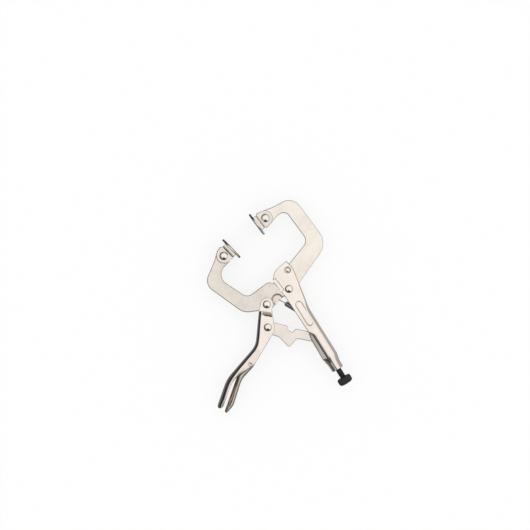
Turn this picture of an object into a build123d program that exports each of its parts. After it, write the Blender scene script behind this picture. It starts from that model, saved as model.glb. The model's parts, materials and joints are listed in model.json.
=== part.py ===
from build123d import *
import math
import os

# Locking C-clamp pliers with swivel pads, lying on their side. Millimetres and degrees.
# +Z runs along the rivets with z = 0 in the middle plane, +X runs along the adjusting
# screw to its knob, and +Y points to the spine of the fixed handle. The origin is the
# centre of the fixed pad's clamping face. Outlines are drawn round the jaw pivot.

os.makedirs("parts", exist_ok=True)

# Clearances
RUNNING_FIT = 0.05
SIDE_PLAY = 0.15
JAW_CLEARANCE = 0.7

# Thicknesses, each half of it to either side of the middle plane
JAW_HALF = 4.0
LINK_HALF = 3.0
HANDLE_SHEET = 2.5
LEVER_SHEET = 2.0
LEVER_HALF = 4.8
GRIP_HALF = 8.5
EDGE_ROUND = 1.5
CUT_DEPTH = 60.0

HANDLE_INNER_HALF = JAW_HALF + SIDE_PLAY
HANDLE_OUTER_HALF = HANDLE_INNER_HALF + HANDLE_SHEET
LINK_GAP_HALF = LINK_HALF + SIDE_PLAY
PANEL_OUTER_HALF = LINK_GAP_HALF + HANDLE_SHEET

# Pivots, round the jaw pivot at (0, 0)
HANDLE_PIVOT = (1.9, -38.0)
LINK_PIVOT = (30.2, -53.9)
LEVER_PIVOT = (61.4, -102.3)
JAW_ANCHOR = (-23.8, 12.6)
FIXED_PAD_RIVET = (-102.6, 24.8)
MOVING_PAD_RIVET = (-88.3, -53.3)
SPRING_HOLE = (5.0, -20.0)
SPRING_ANCHOR = (46.0, 1.5)
LINK_END = (104.0, -1.0)
SCREW_HEIGHT = -1.0

# Rivets and pins
RIVET_RADIUS = 4.0
RIVET_HEAD_RADIUS = 5.7
RIVET_HEAD_HEIGHT = 2.4
PAD_RIVET_RADIUS = 3.5
PAD_RIVET_HEAD_RADIUS = 6.0
ANCHOR_RADIUS = 5.0
ANCHOR_RING_OUTER = 4.4
ANCHOR_RING_INNER = 2.0
ANCHOR_RING_DEPTH = 0.6
LEVER_PIN_RADIUS = 2.6
LEVER_PIN_HEAD_RADIUS = 3.25
LEVER_PIN_HEAD_HEIGHT = 0.5
SPRING_PIN_RADIUS = 1.5

# Swivel pads, measured from the pad rivet towards the clamping face
PAD_REACH = 16.5
DISC_THICKNESS = 3.0
BRACKET_FLOOR_THICKNESS = 4.1
PAD_BACK = PAD_REACH - DISC_THICKNESS
BRACKET_FLOOR = PAD_BACK - BRACKET_FLOOR_THICKNESS
PAD_RADIUS = 17.8
BRACKET_HALF_WIDTH = 10.5
BRACKET_SHEET = 2.6
BRACKET_BEND = 2.0
STUD_RADIUS = 3.0
STUD_HEAD_RADIUS = 4.0
STUD_HEAD_HEIGHT = 1.2
STUD_BITE = 2.0
JAW_TIP_PLAY = 1.1
PAD_ROUND = 0.8
FIXED_PAD_TILT = 4.4
MOVING_PAD_TILT = 12.1

# Adjusting screw
SCREW_RADIUS = 4.4
THREAD_PLAY = 0.08
LINK_END_RADIUS = 5.5
LINK_END_PLAY = 4.3
TUBE_RADIUS = 8.3
TUBE_START = 116.0
TUBE_FLARE = 124.0
TUBE_END = 132.8
KNOB_START = 146.0
KNOB_LENGTH = 10.6
KNOB_RADIUS = 10.25
KNOB_ROUND = 2.5
KNOB_SOCKET_DEPTH = 8.0
KNURL_COUNT = 30
KNURL_RADIUS = 0.6
SCREW_TIP_CHAMFER = 1.0
SCREW_TIP = LINK_END[0] + LINK_END_RADIUS + LINK_END_PLAY

# Return spring
SPRING_WIRE = 1.2
SPRING_RADIUS = 3.15
SPRING_PITCH = 1.5
SPRING_EYE = 2.4
SPRING_LEAD = 5.0

# Moving jaw's hub and coined spring seat
HUB_RADIUS = 10.5
SPRING_SEAT = (4.2, -21.7)
SPRING_SEAT_RADIUS = 7.5
SPRING_WEB_HALF = 1.0
SPRING_HOLE_RADIUS = 1.75

# Handle details
EAR_RADIUS = 9.2
LINK_EYE_RADIUS = 9.3
GROOVE_START = 69.0
GROOVE_END = 131.0
GROOVE_HEIGHT = -3.6
GROOVE_RADIUS = 1.9
GROOVE_DEPTH = 1.2
GROOVE_RIB_END = 110.0
GROOVE_RIB_INSET = 0.5
STAMP_CENTRE = (-12.7, -9.7)
STAMP_SIZE = (20.5, 4.8)
STAMP_TILT = 6.0
STAMP_DEPTH = 0.6
SPINE_START = 3.0

# Outlines: corners as (x, y, rounding radius)
FIXED_JAW_OUTLINE = [
    (1.9, 13.5, 0),
    (-26.2, 80.7, 26),
    (-108.2, 74.0, 19),
    (-110.2, 42.0, 30),
    (-115.3, 15.5, 3),
    (-89.0, 18.0, 3),
    (-96.5, 41.0, 14),
    (-96.6, 54.1, 9),
    (-43.8, 58.2, 11.4),
    (-28.2, 14.0, 6),
    (-27.6, 3.0, 3),
    (1.9, 3.0, 0),
]
MOVING_JAW_OUTLINE = [
    (7.0, -4.0, 0),
    (5.4, -13.5, 8),
    (11.0, -36.8, 9),
    (-5.2, -72.2, 22),
    (-68.7, -98.0, 16.8),
    (-88.5, -69.2, 20),
    (-98.9, -57.8, 4),
    (-103.2, -48.9, 2.5),
    (-77.3, -50.0, 2.5),
    (-71.05, -79.1, 15.5),
    (-21.0, -56.1, 10.7),
    (-23.9, -19.5, 8),
    (-8.0, -5.0, 0),
]
FIXED_HANDLE_OUTLINE = [
    (-36.0, 17.9, 1.5),
    (-22.0, 21.0, 12),
    (3.0, 16.3, 30),
    (38.0, 9.8, 60),
    (113.0, 9.8, 10),
    (123.0, 7.3, 10),
    (TUBE_END, 7.3, 0),
    (TUBE_END, -9.8, 0),
    (121.0, -10.2, 6),
    (114.0, -12.6, 6),
    (78.0, -11.6, 20),
    (66.0, -9.0, 20),
    (2.0, -10.4, 60),
    (-21.0, -14.0, 8),
    (-32.2, -4.0, 14),
    (-34.2, 8.0, 10),
]
MOVING_HANDLE_OUTLINE = [
    (-4.5, -43.0, 0),
    (1.5, -50.6, 3),
    (43.2, -82.5, 25),
    (61.6, -142.1, 45),
    (89.5, -177.0, 2.5),
    (93.4, -168.3, 3),
    (65.3, -133.3, 40),
    (65.3, -98.8, 6),
    (39.0, -47.5, 9),
    (13.0, -36.3, 6),
    (4.0, -31.0, 0),
]
LINK_OUTLINE = [
    (22.5, -49.5, 6),
    (44.2, -28.6, 3.5),
    (48.6, -32.2, 2),
    (54.8, -28.2, 3),
    (53.0, -21.4, 3),
    (66.5, -7.8, 12),
    (104.0, 4.5, 0),
    (104.0, -6.5, 0),
    (84.0, -8.0, 12),
    (65.4, -27.6, 6),
    (70.6, -43.6, 3),
    (50.5, -47.6, 12),
    (38.0, -58.5, 5),
]
LEVER_OUTLINE = [
    (52.2, -84.5, 1.8),
    (57.5, -85.8, 2.5),
    (66.6, -100.5, 5),
    (73.1, -124.3, 30),
    (98.2, -153.7, 18),
    (102.8, -169.8, 2),
    (99.0, -169.4, 1.5),
    (63.5, -124.5, 20),
    (57.0, -104.0, 12),
]

# Where the hollows of the folded sheets are open
FIXED_HANDLE_MOUTH = [(-60, 0), (-60, -40), (TUBE_START, -40), (TUBE_START, 0)]
JAW_SLOT = [(-60, 60), (-60, -5), (SPINE_START, -5), (SPINE_START, 60)]
MOVING_HANDLE_MOUTH = [
    (10, -46),
    (37, -62),
    (55, -95),
    (60, -125),
    (70, -145),
    (86, -163),
    (110, -160),
    (80, -95),
    (55, -30),
    (10, -20),
]
MOVING_JAW_SLOT = [(-20, -20), (-20, -76), (-4.5, -72.5), (11.7, -37.1), (11.7, -20)]
LINK_PANEL = [
    (12.5, -50.8, 3),
    (21.0, -36.0, 0),
    (54.0, -36.0, 0),
    (54.0, -66.0, 0),
    (33.0, -66.5, 6),
]
LEVER_MOUTH = [(57, -94), (64, -113), (68, -125), (84, -146), (97, -163), (90, -175), (40, -120), (46, -94)]

# Half widths of the handles along their length, as (distance, half width)
FIXED_HANDLE_WIDTHS = [
    (-40.0, HANDLE_OUTER_HALF),
    (22.0, HANDLE_OUTER_HALF),
    (38.0, GRIP_HALF),
    (110.0, GRIP_HALF),
    (118.0, TUBE_RADIUS),
    (140.0, TUBE_RADIUS),
]
MOVING_HANDLE_ANGLE = -60.0
MOVING_HANDLE_WIDTHS = [
    (-20.0, HANDLE_OUTER_HALF),
    (44.0, HANDLE_OUTER_HALF),
    (62.0, GRIP_HALF),
    (140.0, GRIP_HALF),
    (158.0, 7.4),
    (172.0, 5.4),
]


def towards(angle):
    """Unit vector in the middle plane at an angle from +X."""
    return Vector(math.cos(math.radians(angle)), math.sin(math.radians(angle)), 0)


FACE_CENTRE = Vector(*FIXED_PAD_RIVET) + towards(FIXED_PAD_TILT - 90) * PAD_REACH
SIDE = Plane(origin=-FACE_CENTRE)


def upright(centre, angle=0.0):
    """Plane square to the middle plane through a point, its x at an angle and its y along +Z."""
    return Plane(SIDE.from_local_coords(Vector(*centre)), towards(angle), towards(angle - 90))


SCREW_PLANE = Plane(SIDE.from_local_coords(Vector(0, SCREW_HEIGHT)), (0, 1, 0), (1, 0, 0))

# Points of the spring's axis, from the eye in the moving jaw to the eye on the anchor pin
JAW_HOOK = SIDE.from_local_coords(Vector(*SPRING_HOLE))
ANCHOR_EYE_CENTRE = SIDE.from_local_coords(Vector(*SPRING_ANCHOR))
SPRING_DIRECTION = (ANCHOR_EYE_CENTRE - JAW_HOOK).normalized()
JAW_EYE_CENTRE = JAW_HOOK + SPRING_DIRECTION * SPRING_EYE
JAW_EYE_EDGE = JAW_EYE_CENTRE + SPRING_DIRECTION * SPRING_EYE
ANCHOR_EYE_EDGE = ANCHOR_EYE_CENTRE - SPRING_DIRECTION * SPRING_EYE
COIL_START = JAW_EYE_EDGE + SPRING_DIRECTION * SPRING_LEAD
COIL_END = ANCHOR_EYE_EDGE - SPRING_DIRECTION * SPRING_LEAD
COIL_LENGTH = (COIL_END - COIL_START).length


def rounded_loop(corners):
    """Draw a closed outline through corners of (x, y, radius), each rounded to its radius."""
    points = [Vector(x, y) for x, y, _ in corners]
    arcs = []
    for index, (_, _, radius) in enumerate(corners):
        corner = points[index]
        back = (points[index - 1] - corner).normalized()
        ahead = (points[(index + 1) % len(points)] - corner).normalized()
        half_angle = math.radians(back.get_angle(ahead) / 2)
        reach = radius / math.tan(half_angle)
        depth = radius / math.sin(half_angle) - radius
        middle = corner + (back + ahead).normalized() * depth
        arcs.append((corner + back * reach, middle, corner + ahead * reach, radius))
    for index, (start, middle, end, radius) in enumerate(arcs):
        if radius:
            ThreePointArc(start, middle, end)
        Line(end, arcs[(index + 1) % len(arcs)][0])


def both_edges(widths, inset=0.0):
    """Closed plan from half widths along a length, drawn in by an inset."""
    upper = [(length, width - inset) for length, width in widths]
    return [*upper, *((length, -width) for length, width in reversed(upper))]


def finish(part, name):
    """Label a finished piece and write its file."""
    part.label = name
    export_step(part, f"parts/{name}.step")


def bore(centre, radius):
    """Cut a round hole along Z through the piece being built."""
    with BuildSketch(SIDE) as opening:
        with Locations(centre):
            Circle(radius)
    extrude(opening.sketch, amount=CUT_DEPTH, both=True, mode=Mode.SUBTRACT)


def clear_of_bracket(pad_rivet, facing):
    """Cut off what the jaw being built has beyond its play to the floor of the pad's bracket."""
    tip_side = Plane(SIDE.from_local_coords(Vector(*pad_rivet)), x_dir=towards(facing), z_dir=(0, 0, 1))
    with BuildSketch(tip_side) as beyond:
        with Locations((BRACKET_FLOOR - JAW_TIP_PLAY + PAD_RADIUS, 0)):
            Rectangle(2 * PAD_RADIUS, 2 * PAD_RADIUS)
    extrude(beyond.sketch, amount=JAW_HALF, both=True, mode=Mode.SUBTRACT)


def dome_rivet(name, centre, shank_radius, head_radius, head_base):
    """Rivet with a domed head on both sides, its heads starting at head_base from the middle."""
    section = upright(centre)
    dome_radius = (head_radius**2 + RIVET_HEAD_HEIGHT**2) / (2 * RIVET_HEAD_HEIGHT)
    half_turn = math.asin(head_radius / dome_radius) / 2
    top = head_base + RIVET_HEAD_HEIGHT
    middle = (dome_radius * math.sin(half_turn), top - dome_radius * (1 - math.cos(half_turn)))
    with BuildPart() as rivet:
        with BuildSketch(section):
            with BuildLine():
                Polyline((0, top), (0, 0), (shank_radius, 0), (shank_radius, head_base), (head_radius, head_base))
                ThreePointArc((head_radius, head_base), middle, (0, top))
            make_face()
        revolve(axis=Axis(section.origin, (0, 0, 1)))
        mirror(about=Plane.XY)
    finish(rivet.part, name)


# Fixed jaw, a flat plate whose tail is held between the walls of the fixed handle
with BuildPart() as fixed_jaw:
    with BuildSketch(SIDE):
        with BuildLine():
            rounded_loop(FIXED_JAW_OUTLINE)
        make_face()
        Circle(HUB_RADIUS + JAW_CLEARANCE, mode=Mode.SUBTRACT)
    extrude(amount=JAW_HALF, both=True)
    clear_of_bracket(FIXED_PAD_RIVET, FIXED_PAD_TILT - 90)
    fillet(fixed_jaw.faces().filter_by(Axis.Z).edges(), radius=EDGE_ROUND)
    bore(JAW_ANCHOR, ANCHOR_RADIUS)
    bore(FIXED_PAD_RIVET, PAD_RIVET_RADIUS)
finish(fixed_jaw.part, "fixed_jaw")

# Moving jaw, with its hub on the jaw pivot and a coined seat for the spring's eye
with BuildPart() as moving_jaw:
    with BuildSketch(SIDE):
        with BuildLine():
            rounded_loop(MOVING_JAW_OUTLINE)
        make_face()
        Circle(HUB_RADIUS)
    extrude(amount=JAW_HALF, both=True)
    clear_of_bracket(MOVING_PAD_RIVET, MOVING_PAD_TILT + 90)
    fillet(moving_jaw.faces().filter_by(Axis.Z).edges(), radius=EDGE_ROUND)
    with BuildSketch(SIDE.offset(SPRING_WEB_HALF), SIDE.offset(-JAW_HALF)):
        with Locations(SPRING_SEAT):
            Circle(SPRING_SEAT_RADIUS)
    extrude(amount=JAW_HALF - SPRING_WEB_HALF, mode=Mode.SUBTRACT)
    bore(SPRING_HOLE, SPRING_HOLE_RADIUS)
    bore((0, 0), RIVET_RADIUS + RUNNING_FIT)
    bore(HANDLE_PIVOT, RIVET_RADIUS + RUNNING_FIT)
    bore(MOVING_PAD_RIVET, PAD_RIVET_RADIUS)
finish(moving_jaw.part, "moving_jaw")

# Hollow of the fixed handle, narrow at the jaws and wide in the grip
with BuildPart() as fixed_hollow:
    with BuildSketch(SIDE):
        with BuildLine():
            rounded_loop(FIXED_HANDLE_OUTLINE)
        make_face()
        offset(amount=-HANDLE_SHEET)
        with BuildLine():
            Polyline(*FIXED_HANDLE_MOUTH, close=True)
        make_face()
        with BuildLine():
            Polyline(*JAW_SLOT, close=True)
        make_face()
        with Locations((TUBE_START + CUT_DEPTH / 2, 0)):
            Rectangle(CUT_DEPTH, 2 * CUT_DEPTH, mode=Mode.SUBTRACT)
    extrude(amount=GRIP_HALF, both=True)
    with BuildSketch(upright((0, 0))):
        with BuildLine():
            Polyline(*both_edges(FIXED_HANDLE_WIDTHS, inset=HANDLE_SHEET), close=True)
        make_face()
    extrude(amount=2 * CUT_DEPTH, both=True, mode=Mode.INTERSECT)
    for side in (1, -1):
        with BuildSketch(SIDE.offset(side * (GRIP_HALF - HANDLE_SHEET - GROOVE_DEPTH))):
            with Locations(((GROOVE_START + GROOVE_RIB_END) / 2, GROOVE_HEIGHT)):
                SlotOverall(GROOVE_RIB_END - GROOVE_START, 2 * (GROOVE_RADIUS - GROOVE_RIB_INSET))
        extrude(amount=side * CUT_DEPTH, mode=Mode.SUBTRACT)

# Fixed handle: folded sheet with its spine up, drawn to a threaded tube at the screw end
with BuildPart() as fixed_handle:
    with BuildSketch(SIDE):
        with BuildLine():
            rounded_loop(FIXED_HANDLE_OUTLINE)
        make_face()
    extrude(amount=GRIP_HALF, both=True)
    with BuildSketch(upright((0, 0))):
        with BuildLine():
            Polyline(*both_edges(FIXED_HANDLE_WIDTHS), close=True)
        make_face()
    extrude(amount=2 * CUT_DEPTH, both=True, mode=Mode.INTERSECT)
    with BuildSketch(SCREW_PLANE.offset(TUBE_FLARE)):
        Circle(CUT_DEPTH)
        Circle(TUBE_RADIUS, mode=Mode.SUBTRACT)
    extrude(amount=CUT_DEPTH, mode=Mode.SUBTRACT)
    add(fixed_hollow.part, mode=Mode.SUBTRACT)
    for side in (1, -1):
        with BuildSketch(SIDE.offset(side * (TUBE_RADIUS - GROOVE_DEPTH))):
            with Locations(((GROOVE_START + GROOVE_END) / 2, GROOVE_HEIGHT)):
                SlotOverall(GROOVE_END - GROOVE_START, 2 * GROOVE_RADIUS)
        extrude(amount=side * CUT_DEPTH, mode=Mode.SUBTRACT)
        with BuildSketch(SIDE.offset(side * (HANDLE_OUTER_HALF - STAMP_DEPTH))):
            with Locations(STAMP_CENTRE):
                Rectangle(*STAMP_SIZE, rotation=STAMP_TILT)
        extrude(amount=side * CUT_DEPTH, mode=Mode.SUBTRACT)
    with BuildSketch(SCREW_PLANE):
        Circle(SCREW_RADIUS + THREAD_PLAY)
    extrude(amount=TUBE_END, mode=Mode.SUBTRACT)
    bore((0, 0), RIVET_RADIUS)
    bore(JAW_ANCHOR, ANCHOR_RADIUS)
finish(fixed_handle.part, "fixed_handle")

# Flush rivet that holds the fixed jaw's tail, with a ring rolled into each end
with BuildPart() as jaw_anchor_rivet:
    with BuildSketch(SIDE):
        with Locations(JAW_ANCHOR):
            Circle(ANCHOR_RADIUS)
    extrude(amount=HANDLE_OUTER_HALF, both=True)
    for side in (1, -1):
        with BuildSketch(SIDE.offset(side * (HANDLE_OUTER_HALF - ANCHOR_RING_DEPTH))):
            with Locations(JAW_ANCHOR):
                Circle(ANCHOR_RING_OUTER)
                Circle(ANCHOR_RING_INNER, mode=Mode.SUBTRACT)
        extrude(amount=side * CUT_DEPTH, mode=Mode.SUBTRACT)
finish(jaw_anchor_rivet.part, "jaw_anchor_rivet")

dome_rivet("jaw_pivot_rivet", (0, 0), RIVET_RADIUS, RIVET_HEAD_RADIUS, HANDLE_OUTER_HALF)
dome_rivet("handle_pivot_rivet", HANDLE_PIVOT, RIVET_RADIUS, RIVET_HEAD_RADIUS, HANDLE_OUTER_HALF)
dome_rivet("link_pivot_rivet", LINK_PIVOT, RIVET_RADIUS, RIVET_HEAD_RADIUS, PANEL_OUTER_HALF)

# Cross pin inside the fixed handle that the return spring pulls on
with BuildPart() as spring_anchor_pin:
    with BuildSketch(SIDE):
        with Locations(SPRING_ANCHOR):
            Circle(SPRING_PIN_RADIUS)
    extrude(amount=GRIP_HALF - HANDLE_SHEET, both=True)
finish(spring_anchor_pin.part, "spring_anchor_pin")

# Return spring: an eye in the moving jaw, a close coil and an eye on the anchor pin
with BuildPart() as return_spring:
    with BuildLine() as coil:
        Helix(SPRING_PITCH, COIL_LENGTH, SPRING_RADIUS, COIL_START, SPRING_DIRECTION)
    with BuildSketch(Plane(coil.line @ 0, z_dir=coil.line % 0)):
        Circle(SPRING_WIRE / 2)
    sweep(path=coil.line, is_frenet=True)
    for coil_end, axis_point, eye_edge in (
        (coil.line @ 0, COIL_START, JAW_EYE_EDGE),
        (coil.line @ 1, COIL_END, ANCHOR_EYE_EDGE),
    ):
        with BuildLine() as lead:
            Polyline(coil_end, axis_point, eye_edge)
        with BuildSketch(Plane(lead.line @ 0, z_dir=lead.line % 0)):
            Circle(SPRING_WIRE / 2)
        sweep(path=lead.line, transition=Transition.ROUND)
    with Locations(Plane(JAW_EYE_CENTRE, z_dir=SPRING_DIRECTION.cross(Vector(0, 0, 1)))):
        Torus(SPRING_EYE, SPRING_WIRE / 2)
    with Locations(Plane(ANCHOR_EYE_CENTRE)):
        Torus(SPRING_EYE, SPRING_WIRE / 2)
finish(return_spring.part, "return_spring")

# Hollow of the moving handle, drawn in round the link where the walls are pressed closer
with BuildPart() as moving_hollow:
    with BuildSketch(SIDE):
        with BuildLine():
            rounded_loop(MOVING_HANDLE_OUTLINE)
        make_face()
        with Locations(HANDLE_PIVOT):
            Circle(EAR_RADIUS)
        offset(amount=-HANDLE_SHEET)
        with BuildLine():
            Polyline(*MOVING_HANDLE_MOUTH, close=True)
        make_face()
        with BuildLine():
            Polyline(*MOVING_JAW_SLOT, close=True)
        make_face()
    extrude(amount=GRIP_HALF, both=True)
    with BuildSketch(upright(HANDLE_PIVOT, MOVING_HANDLE_ANGLE)):
        with BuildLine():
            Polyline(*both_edges(MOVING_HANDLE_WIDTHS, inset=HANDLE_SHEET), close=True)
        make_face()
    extrude(amount=2 * CUT_DEPTH, both=True, mode=Mode.INTERSECT)
    for side in (1, -1):
        with BuildSketch(SIDE.offset(side * LINK_GAP_HALF)):
            with BuildLine():
                rounded_loop(LINK_PANEL)
            make_face()
        extrude(amount=side * CUT_DEPTH, mode=Mode.SUBTRACT)

# Moving handle: folded sheet with its spine away from the fixed handle
with BuildPart() as moving_handle:
    with BuildSketch(SIDE):
        with BuildLine():
            rounded_loop(MOVING_HANDLE_OUTLINE)
        make_face()
        with Locations(HANDLE_PIVOT):
            Circle(EAR_RADIUS)
    extrude(amount=GRIP_HALF, both=True)
    with BuildSketch(upright(HANDLE_PIVOT, MOVING_HANDLE_ANGLE)):
        with BuildLine():
            Polyline(*both_edges(MOVING_HANDLE_WIDTHS), close=True)
        make_face()
    extrude(amount=2 * CUT_DEPTH, both=True, mode=Mode.INTERSECT)
    for side in (1, -1):
        with BuildSketch(SIDE.offset(side * PANEL_OUTER_HALF)):
            with BuildLine():
                rounded_loop(LINK_PANEL)
            make_face()
        extrude(amount=side * CUT_DEPTH, mode=Mode.SUBTRACT)
    add(moving_hollow.part, mode=Mode.SUBTRACT)
    bore(HANDLE_PIVOT, RIVET_RADIUS)
    bore(LINK_PIVOT, RIVET_RADIUS)
    bore(LEVER_PIVOT, LEVER_PIN_RADIUS)
finish(moving_handle.part, "moving_handle")

# Toggle link, a plate from the moving handle to the screw's tip inside the fixed handle
with BuildPart() as toggle_link:
    with BuildSketch(SIDE):
        with BuildLine():
            rounded_loop(LINK_OUTLINE)
        make_face()
        with Locations(LINK_PIVOT):
            Circle(LINK_EYE_RADIUS)
        with Locations(LINK_END):
            Circle(LINK_END_RADIUS)
    extrude(amount=LINK_HALF, both=True)
    bore(LINK_PIVOT, RIVET_RADIUS + RUNNING_FIT)
finish(toggle_link.part, "toggle_link")

# Release lever, a narrow folded sheet open towards the moving handle
with BuildPart() as release_lever:
    with BuildSketch(SIDE):
        with BuildLine():
            rounded_loop(LEVER_OUTLINE)
        make_face()
    extrude(amount=LEVER_HALF, both=True)
    with BuildSketch(SIDE):
        with BuildLine():
            rounded_loop(LEVER_OUTLINE)
        make_face()
        offset(amount=-LEVER_SHEET)
        with BuildLine():
            Polyline(*LEVER_MOUTH, close=True)
        make_face()
    extrude(amount=LEVER_HALF - LEVER_SHEET, both=True, mode=Mode.SUBTRACT)
    bore(LEVER_PIVOT, LEVER_PIN_RADIUS + RUNNING_FIT)
finish(release_lever.part, "release_lever")

# Pin of the release lever, headed over on both walls of the moving handle
with BuildPart() as lever_pivot_pin:
    with BuildSketch(SIDE):
        with Locations(LEVER_PIVOT):
            Circle(LEVER_PIN_RADIUS)
    extrude(amount=GRIP_HALF, both=True)
    for side in (1, -1):
        with BuildSketch(SIDE.offset(side * GRIP_HALF)):
            with Locations(LEVER_PIVOT):
                Circle(LEVER_PIN_HEAD_RADIUS)
        extrude(amount=side * LEVER_PIN_HEAD_HEIGHT)
finish(lever_pivot_pin.part, "lever_pivot_pin")

# Adjusting screw; its thread runs in the fixed handle's tube
with BuildPart() as adjusting_screw:
    with BuildSketch(SCREW_PLANE.offset(SCREW_TIP)):
        Circle(SCREW_RADIUS)
    extrude(amount=KNOB_START + KNOB_SOCKET_DEPTH - SIDE_PLAY - SCREW_TIP)
    chamfer(adjusting_screw.faces().sort_by(Axis.X)[0].edges(), length=SCREW_TIP_CHAMFER)
finish(adjusting_screw.part, "adjusting_screw")

# Knurled knob on the screw's outer end
with BuildPart() as screw_knob:
    with BuildSketch(SCREW_PLANE.offset(KNOB_START)):
        Circle(KNOB_RADIUS)
    extrude(amount=KNOB_LENGTH)
    fillet(screw_knob.edges().filter_by(GeomType.CIRCLE), radius=KNOB_ROUND)
    with BuildSketch(SCREW_PLANE.offset(KNOB_START + KNOB_ROUND)):
        with PolarLocations(KNOB_RADIUS, KNURL_COUNT):
            Circle(KNURL_RADIUS)
    extrude(amount=KNOB_LENGTH - 2 * KNOB_ROUND, mode=Mode.SUBTRACT)
    with BuildSketch(SCREW_PLANE.offset(KNOB_START)):
        Circle(SCREW_RADIUS + THREAD_PLAY)
    extrude(amount=KNOB_SOCKET_DEPTH, mode=Mode.SUBTRACT)
finish(screw_knob.part, "screw_knob")

# Swivel pads: each has a disc, a bracket round the jaw's tip, a stud headed in the bracket
# and pressed into the disc's back, and the rivet that the pad swings on
for jaw_name, pad_rivet, facing in (
    ("fixed", FIXED_PAD_RIVET, FIXED_PAD_TILT - 90),
    ("moving", MOVING_PAD_RIVET, MOVING_PAD_TILT + 90),
):
    rivet_point = SIDE.from_local_coords(Vector(*pad_rivet))
    pad_plane = Plane(rivet_point, x_dir=(0, 0, 1), z_dir=towards(facing))
    bracket_side = Plane(rivet_point, x_dir=towards(facing), z_dir=(0, 0, 1))

    with BuildPart() as pad_disc:
        with BuildSketch(pad_plane.offset(PAD_BACK)):
            Circle(PAD_RADIUS)
        extrude(amount=DISC_THICKNESS)
        fillet(pad_disc.edges().filter_by(GeomType.CIRCLE), radius=PAD_ROUND)
        with BuildSketch(pad_plane.offset(PAD_BACK)):
            Circle(STUD_RADIUS)
        extrude(amount=STUD_BITE, mode=Mode.SUBTRACT)
    finish(pad_disc.part, f"{jaw_name}_pad_disc")

    with BuildPart() as pad_bracket:
        with BuildSketch(bracket_side):
            Circle(BRACKET_HALF_WIDTH)
            with Locations((PAD_BACK / 2, 0)):
                Rectangle(PAD_BACK, 2 * BRACKET_HALF_WIDTH)
        extrude(amount=HANDLE_INNER_HALF + BRACKET_SHEET, both=True)
        bends = pad_bracket.edges().filter_by(Axis((0, 0, 0), towards(facing + 90)))
        fillet(bends, radius=BRACKET_BEND)
        with BuildSketch(bracket_side):
            with Locations((BRACKET_FLOOR - CUT_DEPTH / 2, 0)):
                Rectangle(CUT_DEPTH, CUT_DEPTH)
        extrude(amount=HANDLE_INNER_HALF, both=True, mode=Mode.SUBTRACT)
        with BuildSketch(bracket_side):
            Circle(PAD_RIVET_RADIUS + RUNNING_FIT)
        extrude(amount=CUT_DEPTH, both=True, mode=Mode.SUBTRACT)
        with BuildSketch(pad_plane):
            Circle(STUD_RADIUS)
        extrude(amount=PAD_REACH, mode=Mode.SUBTRACT)
        with BuildSketch(pad_plane.offset(BRACKET_FLOOR)):
            Circle(STUD_HEAD_RADIUS)
        extrude(amount=STUD_HEAD_HEIGHT, mode=Mode.SUBTRACT)
    finish(pad_bracket.part, f"{jaw_name}_pad_bracket")

    with BuildPart() as pad_stud:
        with BuildSketch(pad_plane.offset(BRACKET_FLOOR)):
            Circle(STUD_RADIUS)
        extrude(amount=PAD_BACK + STUD_BITE - BRACKET_FLOOR)
        with BuildSketch(pad_plane.offset(BRACKET_FLOOR)):
            Circle(STUD_HEAD_RADIUS)
        extrude(amount=STUD_HEAD_HEIGHT)
    finish(pad_stud.part, f"{jaw_name}_pad_stud")

    head_base = HANDLE_INNER_HALF + BRACKET_SHEET + RUNNING_FIT
    dome_rivet(f"{jaw_name}_pad_rivet", pad_rivet, PAD_RIVET_RADIUS, PAD_RIVET_HEAD_RADIUS, head_base)
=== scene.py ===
"""Locking C-clamp pliers with swivel pads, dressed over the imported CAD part.

Sizes are in millimetres in the middle plane of the tool, round the jaw pivot; every piece is
moved to the row frame and turned to metres as its mesh is built.
"""

import json
import logging
import math
from dataclasses import dataclass, field
from enum import Enum
from typing import Callable, Sequence

import bmesh
import bpy
import numpy as np
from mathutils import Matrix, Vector
from mathutils.geometry import delaunay_2d_cdt

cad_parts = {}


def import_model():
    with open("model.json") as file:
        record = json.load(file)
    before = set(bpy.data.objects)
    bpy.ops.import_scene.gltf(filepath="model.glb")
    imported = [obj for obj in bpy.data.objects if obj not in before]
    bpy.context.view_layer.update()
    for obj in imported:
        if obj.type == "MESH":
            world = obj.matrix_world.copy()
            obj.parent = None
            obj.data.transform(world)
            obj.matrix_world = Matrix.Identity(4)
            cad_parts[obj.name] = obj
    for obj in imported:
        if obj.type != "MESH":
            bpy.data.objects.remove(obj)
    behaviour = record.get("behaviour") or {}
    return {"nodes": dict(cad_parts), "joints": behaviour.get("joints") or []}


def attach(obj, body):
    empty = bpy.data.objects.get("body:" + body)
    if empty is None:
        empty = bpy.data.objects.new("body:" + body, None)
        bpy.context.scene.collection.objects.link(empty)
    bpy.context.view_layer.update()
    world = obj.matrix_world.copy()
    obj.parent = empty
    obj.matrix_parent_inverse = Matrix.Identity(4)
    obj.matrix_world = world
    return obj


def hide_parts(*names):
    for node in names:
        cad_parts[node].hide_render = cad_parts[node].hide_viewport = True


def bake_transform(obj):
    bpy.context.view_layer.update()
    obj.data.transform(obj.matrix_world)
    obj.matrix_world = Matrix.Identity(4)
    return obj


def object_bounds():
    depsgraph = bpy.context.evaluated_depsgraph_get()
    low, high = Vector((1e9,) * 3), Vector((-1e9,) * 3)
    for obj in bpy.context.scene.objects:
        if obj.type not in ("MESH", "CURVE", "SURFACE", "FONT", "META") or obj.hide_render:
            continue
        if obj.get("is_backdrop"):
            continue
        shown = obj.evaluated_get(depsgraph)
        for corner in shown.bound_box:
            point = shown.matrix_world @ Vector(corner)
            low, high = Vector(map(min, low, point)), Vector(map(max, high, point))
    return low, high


LOG = logging.getLogger("pliers")
MM = 0.001
Field = Callable[[np.ndarray], np.ndarray]
Corner = tuple[float, float, float]
Pair = tuple[float, float]

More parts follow.
